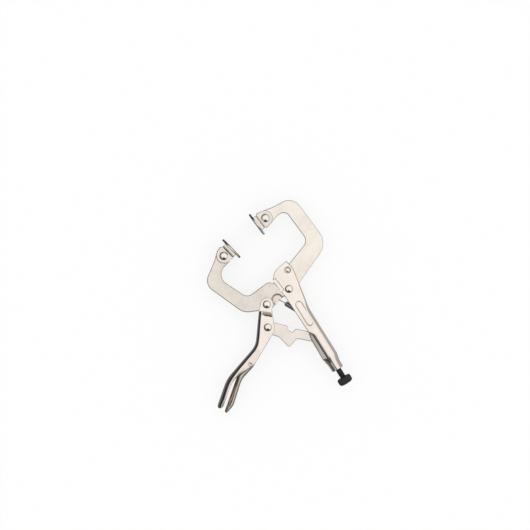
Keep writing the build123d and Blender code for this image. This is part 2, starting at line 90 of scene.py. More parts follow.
JAW_HALF = 4.0
LINK_HALF = 3.0
SHEET = 2.5
INNER_HALF = 4.15
OUTER_HALF = 6.65
GRIP_HALF = 8.5
PANEL_DROP = 1.0
SPINE_START = 3.0
TUBE_END = 132.8
TUBE_TOP = 7.3
TUBE_RADIUS = 8.3
HANDLE_PIVOT = (1.9, -38.0)
LINK_PIVOT = (30.2, -53.9)
LEVER_PIVOT = (61.4, -102.3)
JAW_ANCHOR = (-23.8, 12.6)
FIXED_PAD_RIVET = (-102.6, 24.8)
MOVING_PAD_RIVET = (-88.3, -53.3)
SPRING_HOLE = (5.0, -20.0)
SPRING_ANCHOR = (46.0, 1.5)
SPRING_SEAT = (4.2, -21.7)
LINK_END = (104.0, -1.0)
SCREW_HEIGHT = -1.0
SPINE_POINTS = 3
BEND_POINTS = 15
CORNER_POINTS = 3

FIXED_JAW_OUTLINE: list[Corner] = [
    (1.9, 13.5, 0), (-26.2, 80.7, 26), (-108.2, 74.0, 19), (-110.2, 42.0, 30),
    (-115.3, 15.5, 3), (-89.0, 18.0, 3), (-96.5, 41.0, 14), (-96.6, 54.1, 9),
    (-43.8, 58.2, 11.4), (-28.2, 14.0, 6), (-27.6, 3.0, 3), (-11.5, 3.0, 0),
    (-7.6, 8.4, 0), (-1.0, 11.3, 0),
]
MOVING_JAW_OUTLINE: list[Corner] = [
    (7.0, -4.0, 0), (5.4, -13.5, 8), (11.0, -36.8, 9), (-5.2, -72.2, 22),
    (-68.7, -98.0, 16.8), (-88.5, -69.2, 20), (-98.9, -57.8, 4), (-103.2, -48.9, 2.5),
    (-77.3, -50.0, 2.5), (-71.05, -79.1, 15.5), (-21.0, -56.1, 10.7), (-23.9, -19.5, 8),
    (-8.0, -5.0, 0),
]
FIXED_HANDLE_OUTLINE: list[Corner] = [
    (-36.0, 17.9, 1.5), (-22.0, 21.0, 12), (3.0, 16.3, 30), (38.0, 9.8, 60),
    (113.0, 9.8, 10), (123.0, TUBE_TOP, 10), (TUBE_END, TUBE_TOP, 0), (TUBE_END, -9.8, 0),
    (121.0, -10.2, 6), (114.0, -12.6, 6), (78.0, -11.6, 20), (66.0, -9.0, 20),
    (2.0, -10.4, 60), (-21.0, -14.0, 8), (-32.2, -4.0, 14), (-34.2, 8.0, 10),
]
MOVING_HANDLE_OUTLINE: list[Corner] = [
    (-4.5, -43.0, 0), (1.5, -50.6, 3), (43.2, -82.5, 25), (61.6, -142.1, 45),
    (89.5, -177.0, 2.5), (93.4, -168.3, 3), (65.3, -133.3, 40), (65.3, -98.8, 6),
    (39.0, -47.5, 9), (13.0, -36.3, 6), (4.0, -31.0, 0),
]
LINK_OUTLINE: list[Corner] = [
    (22.5, -49.5, 6), (44.2, -28.6, 3.5), (48.6, -32.2, 2), (54.8, -28.2, 3),
    (53.0, -21.4, 3), (66.5, -7.8, 12), (104.0, 4.5, 0), (104.0, -6.5, 0),
    (84.0, -8.0, 12), (65.4, -27.6, 6), (70.6, -43.6, 3), (50.5, -47.6, 12),
    (38.0, -58.5, 5),
]
LEVER_OUTLINE: list[Corner] = [
    (52.2, -84.5, 1.8), (57.5, -85.8, 2.5), (66.6, -100.5, 5), (73.1, -124.3, 30),
    (98.2, -153.7, 18), (102.8, -169.8, 2), (99.0, -169.4, 1.5), (63.5, -124.5, 20),
    (57.0, -104.0, 12),
]


def unit(vectors: np.ndarray) -> np.ndarray:
    """Vectors scaled to length one along their last axis."""
    return vectors / np.linalg.norm(vectors, axis=-1, keepdims=True)


def ease(share: np.ndarray) -> np.ndarray:
    """Smooth step: zero below 0, one above 1, level at both ends."""
    share = np.clip(share, 0.0, 1.0)
    return share * share * (3.0 - 2.0 * share)


def towards(angle: np.ndarray | float) -> np.ndarray:
    """Unit vector in the middle plane at an angle in degrees from +X."""
    return np.stack([np.cos(np.radians(angle)), np.sin(np.radians(angle))], -1)


def dense(chain: np.ndarray, pitch: float, closed: bool = True) -> np.ndarray:
    """Add points along straight runs so that none is longer than the pitch.

    Args:
        chain: Points of the chain, (n, 2).
        pitch: Longest run to leave.
        closed: Whether the last point joins the first.

    Returns:
        The denser chain.
    """
    ahead = np.roll(chain, -1, axis=0)
    runs = np.linalg.norm(ahead - chain, axis=1)
    counts = np.maximum(1, np.ceil(runs / pitch)).astype(int)
    if not closed:
        counts[-1] = 1
    index = np.repeat(np.arange(len(chain)), counts)
    step = np.arange(len(index)) - np.repeat(np.cumsum(counts) - counts, counts)
    share = (step / counts[index])[:, None]
    return chain[index] * (1 - share) + ahead[index] * share


def rounded(corners: Sequence[Corner], pitch: float = 1.2) -> np.ndarray:
    """Counter-clockwise chain through corners that are rounded to their radii.

    Each corner becomes the arc that touches both of its sides; the sides are straight.

    Args:
        corners: Corners as (x, y, radius).
        pitch: Longest straight run between points.

    Returns:
        Points of the closed chain, (n, 2).
    """
    points = np.array([corner[:2] for corner in corners], float)
    runs = []
    for index, (_, _, radius) in enumerate(corners):
        corner = points[index]
        if radius == 0:
            runs.append(corner[None])
            continue
        back = unit(points[index - 1] - corner)
        ahead = unit(points[(index + 1) % len(points)] - corner)
        half = math.acos(float(np.clip(back @ ahead, -1, 1))) / 2
        centre = corner + unit(back + ahead) * radius / math.sin(half)
        first = corner + back * radius / math.tan(half) - centre
        turn = (math.pi - 2 * half) * math.copysign(1, -(back[0] * ahead[1] - back[1] * ahead[0]))
        start = math.atan2(first[1], first[0])
        steps = max(2, math.ceil(abs(turn) * max(radius, 3) / 0.9))
        angles = start + turn * np.linspace(0, 1, steps + 1)
        runs.append(centre + radius * np.stack([np.cos(angles), np.sin(angles)], 1))
    chain = np.concatenate(runs)
    ahead = np.roll(chain, -1, axis=0)
    if np.sum(chain[:, 0] * ahead[:, 1] - chain[:, 1] * ahead[:, 0]) < 0:
        chain = chain[::-1]
    return dense(chain, pitch)


def faired(chain: np.ndarray, reach: float, pitch: float = 0.7) -> np.ndarray:
    """Smooth an open chain by a running mean over a reach on both sides, keeping its ends.

    Args:
        chain: Points of the chain, (n, 2).
        reach: How far the mean looks to each side.
        pitch: Spacing that the points get first.

    Returns:
        The smoothed chain.
    """
    chain = dense(chain, pitch, closed=False)
    count = max(1, int(reach / pitch))
    window = np.hanning(2 * count + 3)[1:-1]
    window /= window.sum()
    start = 2 * chain[0] - chain[count:0:-1]
    end = 2 * chain[-1] - chain[-2 : -count - 2 : -1]
    longer = np.concatenate([start, chain, end])
    return np.stack([np.convolve(column, window, "valid") for column in longer.T], 1)


def with_boss(chain: np.ndarray, centre: Sequence[float], radius: float) -> np.ndarray:
    """Chain joined with a round boss: its points inside the circle give way to the outer arc.

    Args:
        chain: Points of the closed chain, (n, 2).
        centre: Centre of the boss.
        radius: Its radius.

    Returns:
        Points of the joined chain.
    """
    offset = chain - np.array(centre)
    hidden = np.linalg.norm(offset, axis=1) < radius
    first = int(np.flatnonzero(hidden & ~np.roll(hidden, 1))[0])
    chain, hidden = np.roll(chain, -first, axis=0), np.roll(hidden, -first)
    kept = chain[~hidden]
    ends = kept[[-1, 0]] - np.array(centre)
    start, end = np.arctan2(ends[:, 1], ends[:, 0])
    turn = (end - start) % (2 * math.pi)
    steps = math.ceil(turn * radius / 0.9)
    angles = start + turn * np.linspace(0.02, 0.98, steps)
    boss = np.array(centre) + radius * np.stack([np.cos(angles), np.sin(angles)], 1)
    return np.concatenate([kept, boss])


def between(chain: np.ndarray, start: Sequence[float], end: Sequence[float]) -> np.ndarray:
    """The chain from its point nearest to start, onwards to its point nearest to end.

    Args:
        chain: Points of the closed chain, (n, 2).
        start: Place near the first point to keep.
        end: Place near the last point to keep.

    Returns:
        That stretch of the chain.
    """
    first = int(np.argmin(np.linalg.norm(chain - np.array(start), axis=1)))
    chain = np.roll(chain, -first, axis=0)
    last = int(np.argmin(np.linalg.norm(chain - np.array(end), axis=1)))
    return chain[: last + 1]


def inward(chain: np.ndarray, closed: bool) -> np.ndarray:
    """Inset vectors of a counter-clockwise chain, longer at corners so that offsets stay even.

    At the two ends of an open chain the inset runs along the line that joins them.

    Args:
        chain: Points of the chain, (n, 2).
        closed: Whether the last point joins the first.

    Returns:
        One vector for each point.
    """
    step = unit(np.roll(chain, -1, axis=0) - chain)
    normal = np.stack([-step[:, 1], step[:, 0]], 1)
    mean = unit(normal + np.roll(normal, 1, axis=0))
    stretch = np.clip(np.sum(mean * normal, 1, keepdims=True), 0.6, 1)
    mean = mean / stretch
    if not closed:
        seam = unit(chain[-1] - chain[0])
        mean[0], mean[-1] = seam, -seam
    return mean


def inside(points: np.ndarray, loop: np.ndarray) -> np.ndarray:
    """Whether each point lies inside a closed loop, by counting the sides it is left of.

    Args:
        points: Points to test, (n, 2).
        loop: Points of the loop, (m, 2).

    Returns:
        One truth value for each point.
    """
    ahead = np.roll(loop, -1, axis=0)
    x, y = points[:, :1], points[:, 1:]
    crosses = (loop[:, 1] > y) != (ahead[:, 1] > y)
    rise = np.where(ahead[:, 1] == loop[:, 1], 1e-12, ahead[:, 1] - loop[:, 1])
    reach = loop[:, 0] + (y - loop[:, 1]) * (ahead[:, 0] - loop[:, 0]) / rise
    return (np.sum(crosses & (x < reach), axis=1) % 2).astype(bool)


def lattice(low: Sequence[float], high: Sequence[float], pitch: float) -> np.ndarray:
    """Points of an even lattice over a box in the middle plane.

    Args:
        low: Lower corner of the box.
        high: Upper corner of the box.
        pitch: Spacing of the points.

    Returns:
        The points, (n, 2).
    """
    across = np.arange(low[0], high[0], pitch)
    up = np.arange(low[1], high[1], pitch)
    return np.stack(np.meshgrid(across, up, indexing="ij"), -1).reshape(-1, 2)


def flat(points: np.ndarray) -> np.ndarray:
    """A relief of nothing."""
    return np.zeros(points.shape[:-1])


def to_segment(points: np.ndarray, start: Sequence[float], end: Sequence[float]) -> np.ndarray:
    """Distance from points to a straight segment.

    Args:
        points: Points of any grid, (..., 2).
        start: One end of the segment.
        end: Its other end.

    Returns:
        One distance for each point.
    """
    first, run = np.array(start, float), np.array(end, float) - np.array(start, float)
    share = np.clip((points - first) @ run / (run @ run), 0, 1)
    return np.linalg.norm(points - first - share[..., None] * run, axis=-1)


def past_line(points: np.ndarray, start: Sequence[float], end: Sequence[float]) -> np.ndarray:
    """Signed distance of points to the left of a line from start to end.

    Args:
        points: Points of any grid, (..., 2).
        start: A place on the line.
        end: A later place on it.

    Returns:
        One distance for each point.
    """
    run = unit(np.array(end, float) - np.array(start, float))
    offset = points - np.array(start, float)
    return run[0] * offset[..., 1] - run[1] * offset[..., 0]


def paired(
    spine: np.ndarray,
    free: np.ndarray,
    keys: Sequence[tuple[Sequence[float], Sequence[float]]],
    pitch: float,
) -> tuple[np.ndarray, np.ndarray]:
    """Resample two chains so that their points face each other.

    Args:
        spine: Chain along the spine.
        free: Chain along the free edges.
        keys: Pairs of places, on the spine and on the free edge, that face each other.
        pitch: Spacing of the sections.

    Returns:
        Both chains with the same number of points.
    """
    places = []
    for column, chain in enumerate((spine, free)):
        walked = np.concatenate([[0], np.cumsum(np.linalg.norm(np.diff(chain, axis=0), axis=1))])
        found = [walked[np.argmin(np.linalg.norm(chain - np.array(key[column]), axis=1))] for key in keys]
        places.append((chain, walked, np.array(found)))
    knots = (places[0][2] + places[1][2]) / 2
    along = np.linspace(knots[0], knots[-1], math.ceil((knots[-1] - knots[0]) / pitch) + 1)
    ends = []
    for chain, walked, found in places:
        at = np.interp(along, knots, found)
        ends.append(np.stack([np.interp(at, walked, chain[:, 0]), np.interp(at, walked, chain[:, 1])], 1))
    return ends[0], ends[1]


def arc(centre: Sequence[float], radius: float, start: float, end: float, steps: int = 6) -> np.ndarray:
    """Points of a circular arc between two angles in degrees."""
    angle = np.radians(np.linspace(start, end, steps + 1))
    return np.array(centre) + radius * np.stack([np.cos(angle), np.sin(angle)], 1)


def tube(path: np.ndarray, reference: np.ndarray, radius: float, steps: int = 12) -> np.ndarray:
    """Grid of a round wire: a circle carried along a path, its first side square to a reference.

    Args:
        path: Points along the wire's middle, (n, 3).
        reference: Direction that the circle's first side is square to.
        radius: Radius of the wire.
        steps: Points round the circle.

    Returns:
        Positions, (n, steps, 3).
    """
    tangent = unit(np.gradient(path, axis=0))
    side = unit(np.cross(tangent, np.array(reference, float)))
    up = np.cross(side, tangent)
    angle = np.linspace(0, 2 * math.pi, steps, endpoint=False)
    wheel = np.cos(angle)[:, None] * side[:, None] + np.sin(angle)[:, None] * up[:, None]
    return path[:, None] + radius * wheel


def quads(index: np.ndarray) -> np.ndarray:
    """Corners of the faces between neighbouring rows and columns of a grid of point indices."""
    return np.stack([index[:-1, :-1], index[1:, :-1], index[1:, 1:], index[:-1, 1:]], -1).reshape(-1, 4)


def guarded(profile: np.ndarray, gap: float = 0.2) -> np.ndarray:
    """Profile with a point close to both ends of each long run, so that flats stay flat.

    Args:
        profile: Points of the profile, (n, 2).
        gap: How close the added points are to the ends.

    Returns:
        The profile with its added points.
    """
    run = np.diff(profile, axis=0)
    length = np.linalg.norm(run, axis=1)
    parts = [profile[:1]]
    for start, step, size in zip(profile, run, length):
        near = np.array([gap, size - gap, size]) if size > 3 * gap else np.array([size])
        parts.append(start + step * (near / max(size, 1e-9))[:, None])
    return np.concatenate(parts)


class Surface:
    """Grids and polygons gathered in millimetres, then built as one mesh object."""

    def __init__(self) -> None:
        """Start with nothing gathered."""
        self.points: list[np.ndarray] = []
        self.grain: list[np.ndarray] = []
        self.edge: list[np.ndarray] = []
        self.corners: list[np.ndarray] = []
        self.sizes: list[np.ndarray] = []
        self.count = 0

    def add(
        self,
        points: np.ndarray,
        faces: np.ndarray,
        grain: np.ndarray | None = None,
        edge: np.ndarray | float = 0.0,
    ) -> None:
        """Gather points and faces.

        Args:
            points: Positions, (n, 3).
            faces: Corner indices, (m, corners).
            grain: Where each point lies along and across the grain, (n, 2).
            edge: How much of an edge each point is, 0 to 1.
        """
        self.points.append(points)
        self.grain.append(points[:, :2] if grain is None else grain)
        self.edge.append(np.broadcast_to(edge, len(points)))
        self.corners.append((faces + self.count).ravel())
        self.sizes.append(np.full(len(faces), faces.shape[1]))
        self.count += len(points)

    def grid(
        self,
        points: np.ndarray,
        wrap_rows: bool = False,
        wrap_columns: bool = False,
        grain: np.ndarray | None = None,
        edge: np.ndarray | float = 0.0,
    ) -> None:
        """Gather a surface given on a grid of two parameters.

        Args:
            points: Positions, (rows, columns, 3).
            wrap_rows: Whether the last row joins the first.
            wrap_columns: Whether the last column joins the first.
            grain: Grain coordinates, (rows, columns, 2).
            edge: How much of an edge each point is.
        """
        rows, columns = points.shape[:2]
        index = np.arange(rows * columns).reshape(rows, columns)
        if wrap_rows:
            index = np.concatenate([index, index[:1]])
        if wrap_columns:
            index = np.concatenate([index, index[:, :1]], axis=1)
        edge = np.broadcast_to(edge, (rows, columns)).reshape(-1)
        grain = None if grain is None else grain.reshape(-1, 2)
        self.add(points.reshape(-1, 3), quads(index), grain, edge)

    def polygon(self, points: np.ndarray, edge: float = 0.0) -> None:
        """Gather one flat face through points in order."""
        self.add(points, np.arange(len(points))[None], edge=edge)

    def mirror(self) -> None:
        """Gather a copy of everything so far on the other side of the middle plane."""
        points = np.concatenate(self.points) * np.array([1, 1, -1])
        corners = np.concatenate(self.corners)
        sizes = np.concatenate(self.sizes)
        self.points.append(points)
        self.grain.append(np.concatenate(self.grain))
        self.edge.append(np.concatenate(self.edge))
        self.corners.append(corners + self.count)
        self.sizes.append(sizes)
        self.count *= 2

    def build(self, name: str, origin: np.ndarray, crease: float = 38.0) -> bpy.types.Object:
        """Make the object, welded, facing outwards and smooth up to the crease angle.

        Args:
            name: Name of the piece.
            origin: Place of the jaw pivot in the row frame, in metres.
            crease: Largest angle in degrees that is shaded smooth.

        Returns:
            The new object, at the origin.
        """
        points = np.concatenate(self.points) * MM + np.append(origin, 0.0)
        corners = np.concatenate(self.corners).astype(np.int32)
        sizes = np.concatenate(self.sizes)
        mesh = bpy.data.meshes.new(name)
        mesh.vertices.add(len(points))
        mesh.vertices.foreach_set("co", points.astype(np.float32).ravel())
        mesh.loops.add(len(corners))
        mesh.loops.foreach_set("vertex_index", corners)
        mesh.polygons.add(len(sizes))
        mesh.polygons.foreach_set("loop_start", (np.cumsum(sizes) - sizes).astype(np.int32))
        mesh.update(calc_edges=True)
        grain = np.concatenate(self.grain) * MM
        grain = np.concatenate([grain, np.zeros((len(grain), 1))], 1)
        layer = mesh.attributes.new("grain", "FLOAT_VECTOR", "POINT")
        layer.data.foreach_set("vector", grain.astype(np.float32).ravel())
        layer = mesh.attributes.new("edge", "FLOAT", "POINT")
        layer.data.foreach_set("value", np.concatenate(self.edge).astype(np.float32))
        mesh.validate()
        shape = bmesh.new()
        shape.from_mesh(mesh)
        bmesh.ops.remove_doubles(shape, verts=shape.verts, dist=2e-6)
        bmesh.ops.recalc_face_normals(shape, faces=shape.faces)
        shape.to_mesh(mesh)
        shape.free()
        mesh.polygons.foreach_set("use_smooth", np.ones(len(mesh.polygons), bool))
        mesh.set_sharp_from_angle(angle=math.radians(crease))
        made = bpy.data.objects.new(name, mesh)
        bpy.context.scene.collection.objects.link(made)
        return made


@dataclass
class Plate:
    """A flat plate whose outline is carried inwards over rounded edges to a filled face.

    Each edge is a quarter circle: the inset is r (1 - cos a) and the rise r sin a.
    """

    chain: np.ndarray
    low: float
    high: float
    low_round: np.ndarray | float = 0.5
    high_round: np.ndarray | float = 1.5
    closed: bool = True
    relief: Field = flat
    ceiling: Field | None = None
    lattice: np.ndarray = field(default_factory=lambda: np.zeros((0, 2)))
    holes: tuple[Corner, ...] = ()
    steps: int = 6

    def rim(self, hole: Corner) -> np.ndarray:
        """Points round a hole given as (x, y, radius)."""
        return arc(hole[:2], hole[2], 0, 360, 48)[:-1]

    def face(self, loop: np.ndarray) -> tuple[np.ndarray, np.ndarray]:
        """Fill a loop, less the holes, with triangles.

        Args:
            loop: Points of the loop, (n, 2).

        Returns:
            Points of the filled face and its triangles.
        """
        loops = [loop, *map(self.rim, self.holes)]
        bounds = np.concatenate(loops)
        inner = self.lattice
        if len(inner):
            inner = inner[inside(inner, loop)]
            near = np.linalg.norm(inner[:, None] - bounds[None], axis=2).min(1)
            inner = inner[near > 0.3]
        points = np.concatenate([bounds, inner])
        starts = np.cumsum([0, *map(len, loops)])
        rings = [list(range(a, b)) for a, b in zip(starts, starts[1:])]
        sides = [side for ring in rings for side in zip(ring, ring[1:] + ring[:1])]
        made = delaunay_2d_cdt([Vector(p) for p in points], sides, rings[:1], 1, 1e-7)
        points = np.array([tuple(p) for p in made[0]])
        faces = np.array(made[2])
        centres = points[faces].mean(1)
        kept = inside(centres, loop)
        for rim in loops[1:]:
            kept &= ~inside(centres, rim)
        return points, faces[kept]

    def lift(self, points: np.ndarray, height: np.ndarray | float, share: float) -> np.ndarray:
        """Points of the middle plane raised to a height, with the relief and below the ceiling.

        Args:
            points: Points of the middle plane, (n, 2).
            height: Height of each before the relief.
            share: How much of the relief they take.

        Returns:
            Positions, (n, 3).
        """
        height = np.broadcast_to(height, len(points)) + share * self.relief(points)
        if self.ceiling is not None:
            limit = self.ceiling(points)
            height = np.clip(height, -limit, limit)
        return np.concatenate([points, height[:, None]], 1)

    def gather(self, surface: Surface) -> None:
        """Add the plate's edges, both faces and its seam to a surface.

        Args:
            surface: What the plate is gathered into.
        """
        inset = inward(self.chain, self.closed)
        count = len(self.chain)
        low_round = np.broadcast_to(self.low_round, count)
        high_round = np.broadcast_to(self.high_round, count)
        rings, edges = [], []
        angles = np.linspace(math.pi / 2, 0, self.steps + 1)
        for angle in angles:
            ring = self.chain + inset * (low_round * (1 - math.cos(angle)))[:, None]
            rings.append(self.lift(ring, self.low + low_round * (1 - math.sin(angle)), 0.0))
            edges.append(1.0)
        for angle in angles[::-1]:
            ring = self.chain + inset * (high_round * (1 - math.cos(angle)))[:, None]
            height = self.high - high_round * (1 - math.sin(angle))
            rings.append(self.lift(ring, height, math.sin(angle) ** 2))
            edges.append(1.0)
        bottom = self.lift(self.chain + inset * (low_round + 0.3)[:, None], self.low, 0.0)
        top = self.lift(self.chain + inset * (high_round + 0.3)[:, None], self.high, 1.0)
        stack = np.stack([bottom, *rings, top])
        edge = np.repeat(np.array([0.0, *edges, 0.0])[:, None], count, axis=1)
        surface.grid(stack, wrap_columns=self.closed, edge=edge)
        for ring, level, share in ((stack[0], self.low, 0.0), (stack[-1], self.high, 1.0)):
            points, faces = self.face(ring[:, :2])
            surface.add(self.lift(points, level, share), faces)
        for rim in map(self.rim, self.holes):
            wall = np.stack([self.lift(rim, self.low, 0.0), self.lift(rim, self.high, 1.0)])
            surface.grid(wall, wrap_columns=True, edge=1.0)
        if not self.closed:
            surface.polygon(np.concatenate([stack[:, 0], stack[::-1, -1]]))


@dataclass
class FoldedSheet:
    """A sheet folded to a channel: a spine, two walls and rounded free edges, carried along a run.

    Each section is laid out from the run's length, bend radius and half width. From the spine's
    middle it goes out to the bend, along the wall to the free edge, round the edge, and back along
    the inside. The bend is a quarter of a rounded diamond: both sides of (cos a, sin a) are raised
    to the squareness, which is 1 for a circle and more for a flatter, chamfered bend. Both ends
    are rounded, less what lies higher than seam_above, where another sheet goes on.
    """

    spine: np.ndarray
    free: np.ndarray
    half_width: Field
    bend: np.ndarray
    sheet: float = SHEET
    base: float = SHEET
    relief: Field = flat
    wall_steps: int = 30
    inner_steps: int = 24
    edge_round: float = 1.1
    end_round: float = 0.6
    crown: np.ndarray | float = 0.0
    crown_power: float = 1.6
    squareness: float = 1.0
    inner_corner: float = 0.5
    seam_above: Pair = (1e3, 1e3)

    def layout(self) -> dict[str, np.ndarray]:
        """Factors of the section's half, from the spine's outer middle to its inner middle.

        Returns:
            Distance from the spine as factors of (length, bend, 1), height as factors of
            (half width, bend, 1), and how much of the relief, of an edge and of the crown's
            fall each point takes.
        """
        edge, sheet, corner = min(self.edge_round, 0.48 * self.sheet), self.sheet, self.inner_corner
        rows = []
        for share in np.linspace(0, 1, SPINE_POINTS + 1)[:-1]:
            rows.append((0, 0, 0, share, -share, 0, 0, 0.4, 0))
        for angle in np.linspace(0, math.pi / 2, BEND_POINTS):
            out, up = math.cos(angle) ** self.squareness, math.sin(angle) ** self.squareness
            rows.append((0, 1 - out, 0, 1, up - 1, 0, 0, 1, 0))
        for share in np.linspace(0, 1, self.wall_steps + 1)[1:]:
            rows.append((share, 1 - share, -share * edge, 1, 0, 0, 1, 0, share**self.crown_power))
        for angle in np.linspace(0, math.pi / 2, 5)[1:]:
            out, drop = math.sin(angle), 1 - math.cos(angle)
            rows.append((1, 0, edge * (out - 1), 1, 0, -edge * drop, 1, 1, 1))
        for angle in np.linspace(0, math.pi / 2, 5):
            out, drop = math.cos(angle), math.sin(angle)
            rows.append((1, 0, edge * (out - 1), 1, 0, edge * (1 - drop) - sheet, 0.8, 1, 1))
        for share in np.linspace(1, 0, self.inner_steps + 1)[1:]:
            start = (1 - share) * self.base - share * edge
            taken, fall = 0.8 * ease(share / 0.3), share**self.crown_power
            rows.append((share, (1 - share) * corner, start, 1, 0, -sheet, taken, 0, fall))
        for angle in np.linspace(0, math.pi / 2, CORNER_POINTS + 1)[1:]:
            out, drop = math.sin(angle), 1 - math.cos(angle)
            rows.append((0, (1 - out) * corner, self.base, 1, -drop * corner, -sheet, 0, 0, 0))
        for share in np.linspace(1, 0, SPINE_POINTS + 1)[1:]:
            rows.append((0, 0, self.base, share, -share * corner, -share * sheet, 0, 0, 0))
        reach, rise, taken = np.split(np.array(rows, float), (3, 6), axis=1)
        relief, edges, crown = taken.T
        return {"reach": reach, "rise": rise, "relief": relief, "edge": edges, "crown": crown}

    def halves(self) -> tuple[np.ndarray, np.ndarray, np.ndarray]:
        """Upper halves of all sections.

        Returns:
            Positions (sections, points, 3), grain coordinates and the edge share per point.
        """
        plan = self.layout()
        run = self.free - self.spine
        length = np.linalg.norm(run, axis=1)
        across = run / length[:, None]
        ones = np.ones(len(length))
        reach = np.stack([length, self.bend, ones], 1) @ plan["reach"].T
        place = self.spine[:, None] + across[:, None] * reach[..., None]
        width = self.half_width(place)
        rise = plan["rise"]
        height = width * rise[:, 0] + self.bend[:, None] * rise[:, 1] + rise[:, 2]
        height = height + plan["relief"] * self.relief(place)
        height = height - np.reshape(self.crown, (-1, 1)) * plan["crown"]
        travelled = np.concatenate([[0], np.cumsum(np.linalg.norm(np.diff(self.spine, axis=0), axis=1))])
        grain = np.stack([np.broadcast_to(travelled[:, None], reach.shape), reach], -1)
        return np.concatenate([place, height[..., None]], 2), grain, plan["edge"]

    def gather(self, surface: Surface) -> None:
        """Add the sheet with its rounded ends to a surface.

        Args:
            surface: What the sheet is gathered into.
        """
        upper, grain, edge = self.halves()
        lower = upper[:, -2:0:-1] * np.array([1, 1, -1])
        loops = np.concatenate([upper, lower], 1)
        grain = np.concatenate([grain, grain[:, -2:0:-1]], 1)
        edge = np.concatenate([edge, edge[-2:0:-1]])
        across = unit(self.free - self.spine)
        angles = np.linspace(0, math.pi / 2, 4)
        for at, inner in ((0, 1), (-1, -2)):
            loop = loops[at]
            along = unit(loop.mean(0) - loops[inner].mean(0))
            tangent = unit(np.roll(loop, -1, axis=0) - np.roll(loop, 1, axis=0))
            side = np.append(across[at], 0.0)
            inset = tangent[:, 2:] * side - (tangent @ side)[:, None] * np.array([0, 0, 1.0])
            depth = self.end_round * np.where(np.abs(loop[:, 2:]) > self.seam_above[at], 0.0, 1.0)
            ends = np.stack([
                loop + depth * (inset * (1 - math.cos(a)) - along * (1 - math.sin(a))) for a in angles
            ])
            worn = np.repeat(grain[at][None], len(angles), axis=0)
            if at == 0:
                loops = np.concatenate([ends[::-1], loops[1:]])
                grain = np.concatenate([worn, grain[1:]])
            else:
                loops = np.concatenate([loops[:-1], ends])
                grain = np.concatenate([grain[:-1], worn])
        surface.grid(loops, wrap_columns=True, grain=grain, edge=np.broadcast_to(edge, loops.shape[:2]))
        surface.polygon(loops[0])
        surface.polygon(loops[-1][::-1])


@dataclass
class DrawnTube(FoldedSheet):
    """A folded sheet that is drawn to a thick round tube at its far end.

    The channel's section and the ring's are blended point by point with the closing share. The
    ring's outside follows the outline from above, and the seam's two edges stay a gap apart.
    """

    closing: np.ndarray = field(default_factory=lambda: np.zeros(0))
    radius: float = TUBE_RADIUS
    bore: float = 4.48
    level: float = SCREW_HEIGHT
    seam: float = -2.6
    seam_drop: float = 0.12
    seam_gap: float = 0.12

    def halves(self) -> tuple[np.ndarray, np.ndarray, np.ndarray]:
        """Upper halves of all sections, blended to the ring.

        Returns:
            Positions (sections, points, 3), grain coordinates and the edge share per point.
        """
        place, grain, edge = super().halves()
        plan = self.layout()
        outer = plan["rise"][:, 2] == 0
        outer &= np.arange(len(outer)) < SPINE_POINTS + BEND_POINTS + self.wall_steps
        sample = place[0][outer]
        walked = np.cumsum(np.linalg.norm(np.diff(sample[:, 1:], axis=0), axis=1))
        angle = np.full(len(outer), math.pi)
        angle[outer] = np.concatenate([[0], walked / walked[-1]]) * math.pi
        rim = len(outer) - np.argmax(outer[::-1]) - 1
        inner_count = self.inner_steps + CORNER_POINTS + SPINE_POINTS
        angle[-inner_count:] = np.linspace(math.pi, 0, inner_count)
        radius = np.full(len(outer), self.radius)
        radius[-inner_count:] = self.bore
        turned_in = slice(rim + 1, len(outer) - inner_count)
        steps = turned_in.stop - turned_in.start + 2
        radius[turned_in] = np.linspace(self.radius, self.bore, steps)[1:-1]
        ring = np.stack([self.level + radius * np.cos(angle), radius * np.sin(angle)], 1)
        by_seam = slice(rim - 4, -self.inner_steps - 4)
        ring[by_seam, 1] = np.maximum(ring[by_seam, 1], self.seam_gap)
        ring[outer, 1] *= 1 - self.seam_drop * ease((self.seam - ring[outer, 0]) / 1.4 + 0.5)
        rings = np.repeat(ring[None], len(self.spine), axis=0)
        middle, reach = (self.spine + self.free)[:, 1:] / 2, (self.spine - self.free)[:, 1:] / 2
        rings[:, outer, 0] = middle + reach * np.cos(angle[outer])
        share = self.closing[:, None, None]
        place[..., 1:] = place[..., 1:] * (1 - share) + rings * share
        return place, grain, edge


@dataclass
class Turning:
    """A turned piece: a profile of (distance along the axis, radius) carried round the axis."""

    centre: Sequence[float]
    axis: Sequence[float]
    profile: np.ndarray
    steps: int = 64

    def gather(self, surface: Surface) -> None:
        """Add the turned surface: centre + axis t + radius (side cos a + up sin a).

        Args:
            surface: What the piece is gathered into.
        """
        axis = unit(np.array(self.axis, float))
        side = np.array([0, 0, 1.0]) if abs(axis[2]) < 0.5 else np.array([1.0, 0, 0])
        up = np.cross(axis, side)
        angle = np.linspace(0, 2 * math.pi, self.steps, endpoint=False)
        ring = np.cos(angle)[:, None] * side + np.sin(angle)[:, None] * up
        along, radius = self.profile[:, 0], self.profile[:, 1]
        points = np.array(self.centre) + along[:, None, None] * axis + radius[:, None, None] * ring[None]
        grain = np.stack([
            np.broadcast_to(radius[:, None], points.shape[:2]),
            np.broadcast_to(angle[None] * 6.0, points.shape[:2]),
        ], -1)
        surface.grid(points, wrap_columns=True, grain=grain, edge=0.3)


class Slot(Enum):
    """Material slots of the record."""

    BRIGHT = "bright_nickel"
    SATIN = "satin_nickel"
    PAD = "pad_nickel"
    SPRING = "spring_steel"
    BLACK = "black_oxide"


class Finish(Enum):
    """Finishes of the pieces."""

    BRIGHT = "bright nickel"
    POLISHED = "polished nickel"
    SATIN = "satin nickel"
    # Satin nickel with a darker tone, for the moving jaw.
    DARKER_SATIN = "darker satin nickel"
    # Painted shade: bright nickel darkened to stand in for the dark reflections on the release lever.
    SHADED_BRIGHT = "shaded bright nickel"
    PAD = "pad nickel"
    SPRING = "spring steel"
    BLACK = "black oxide"


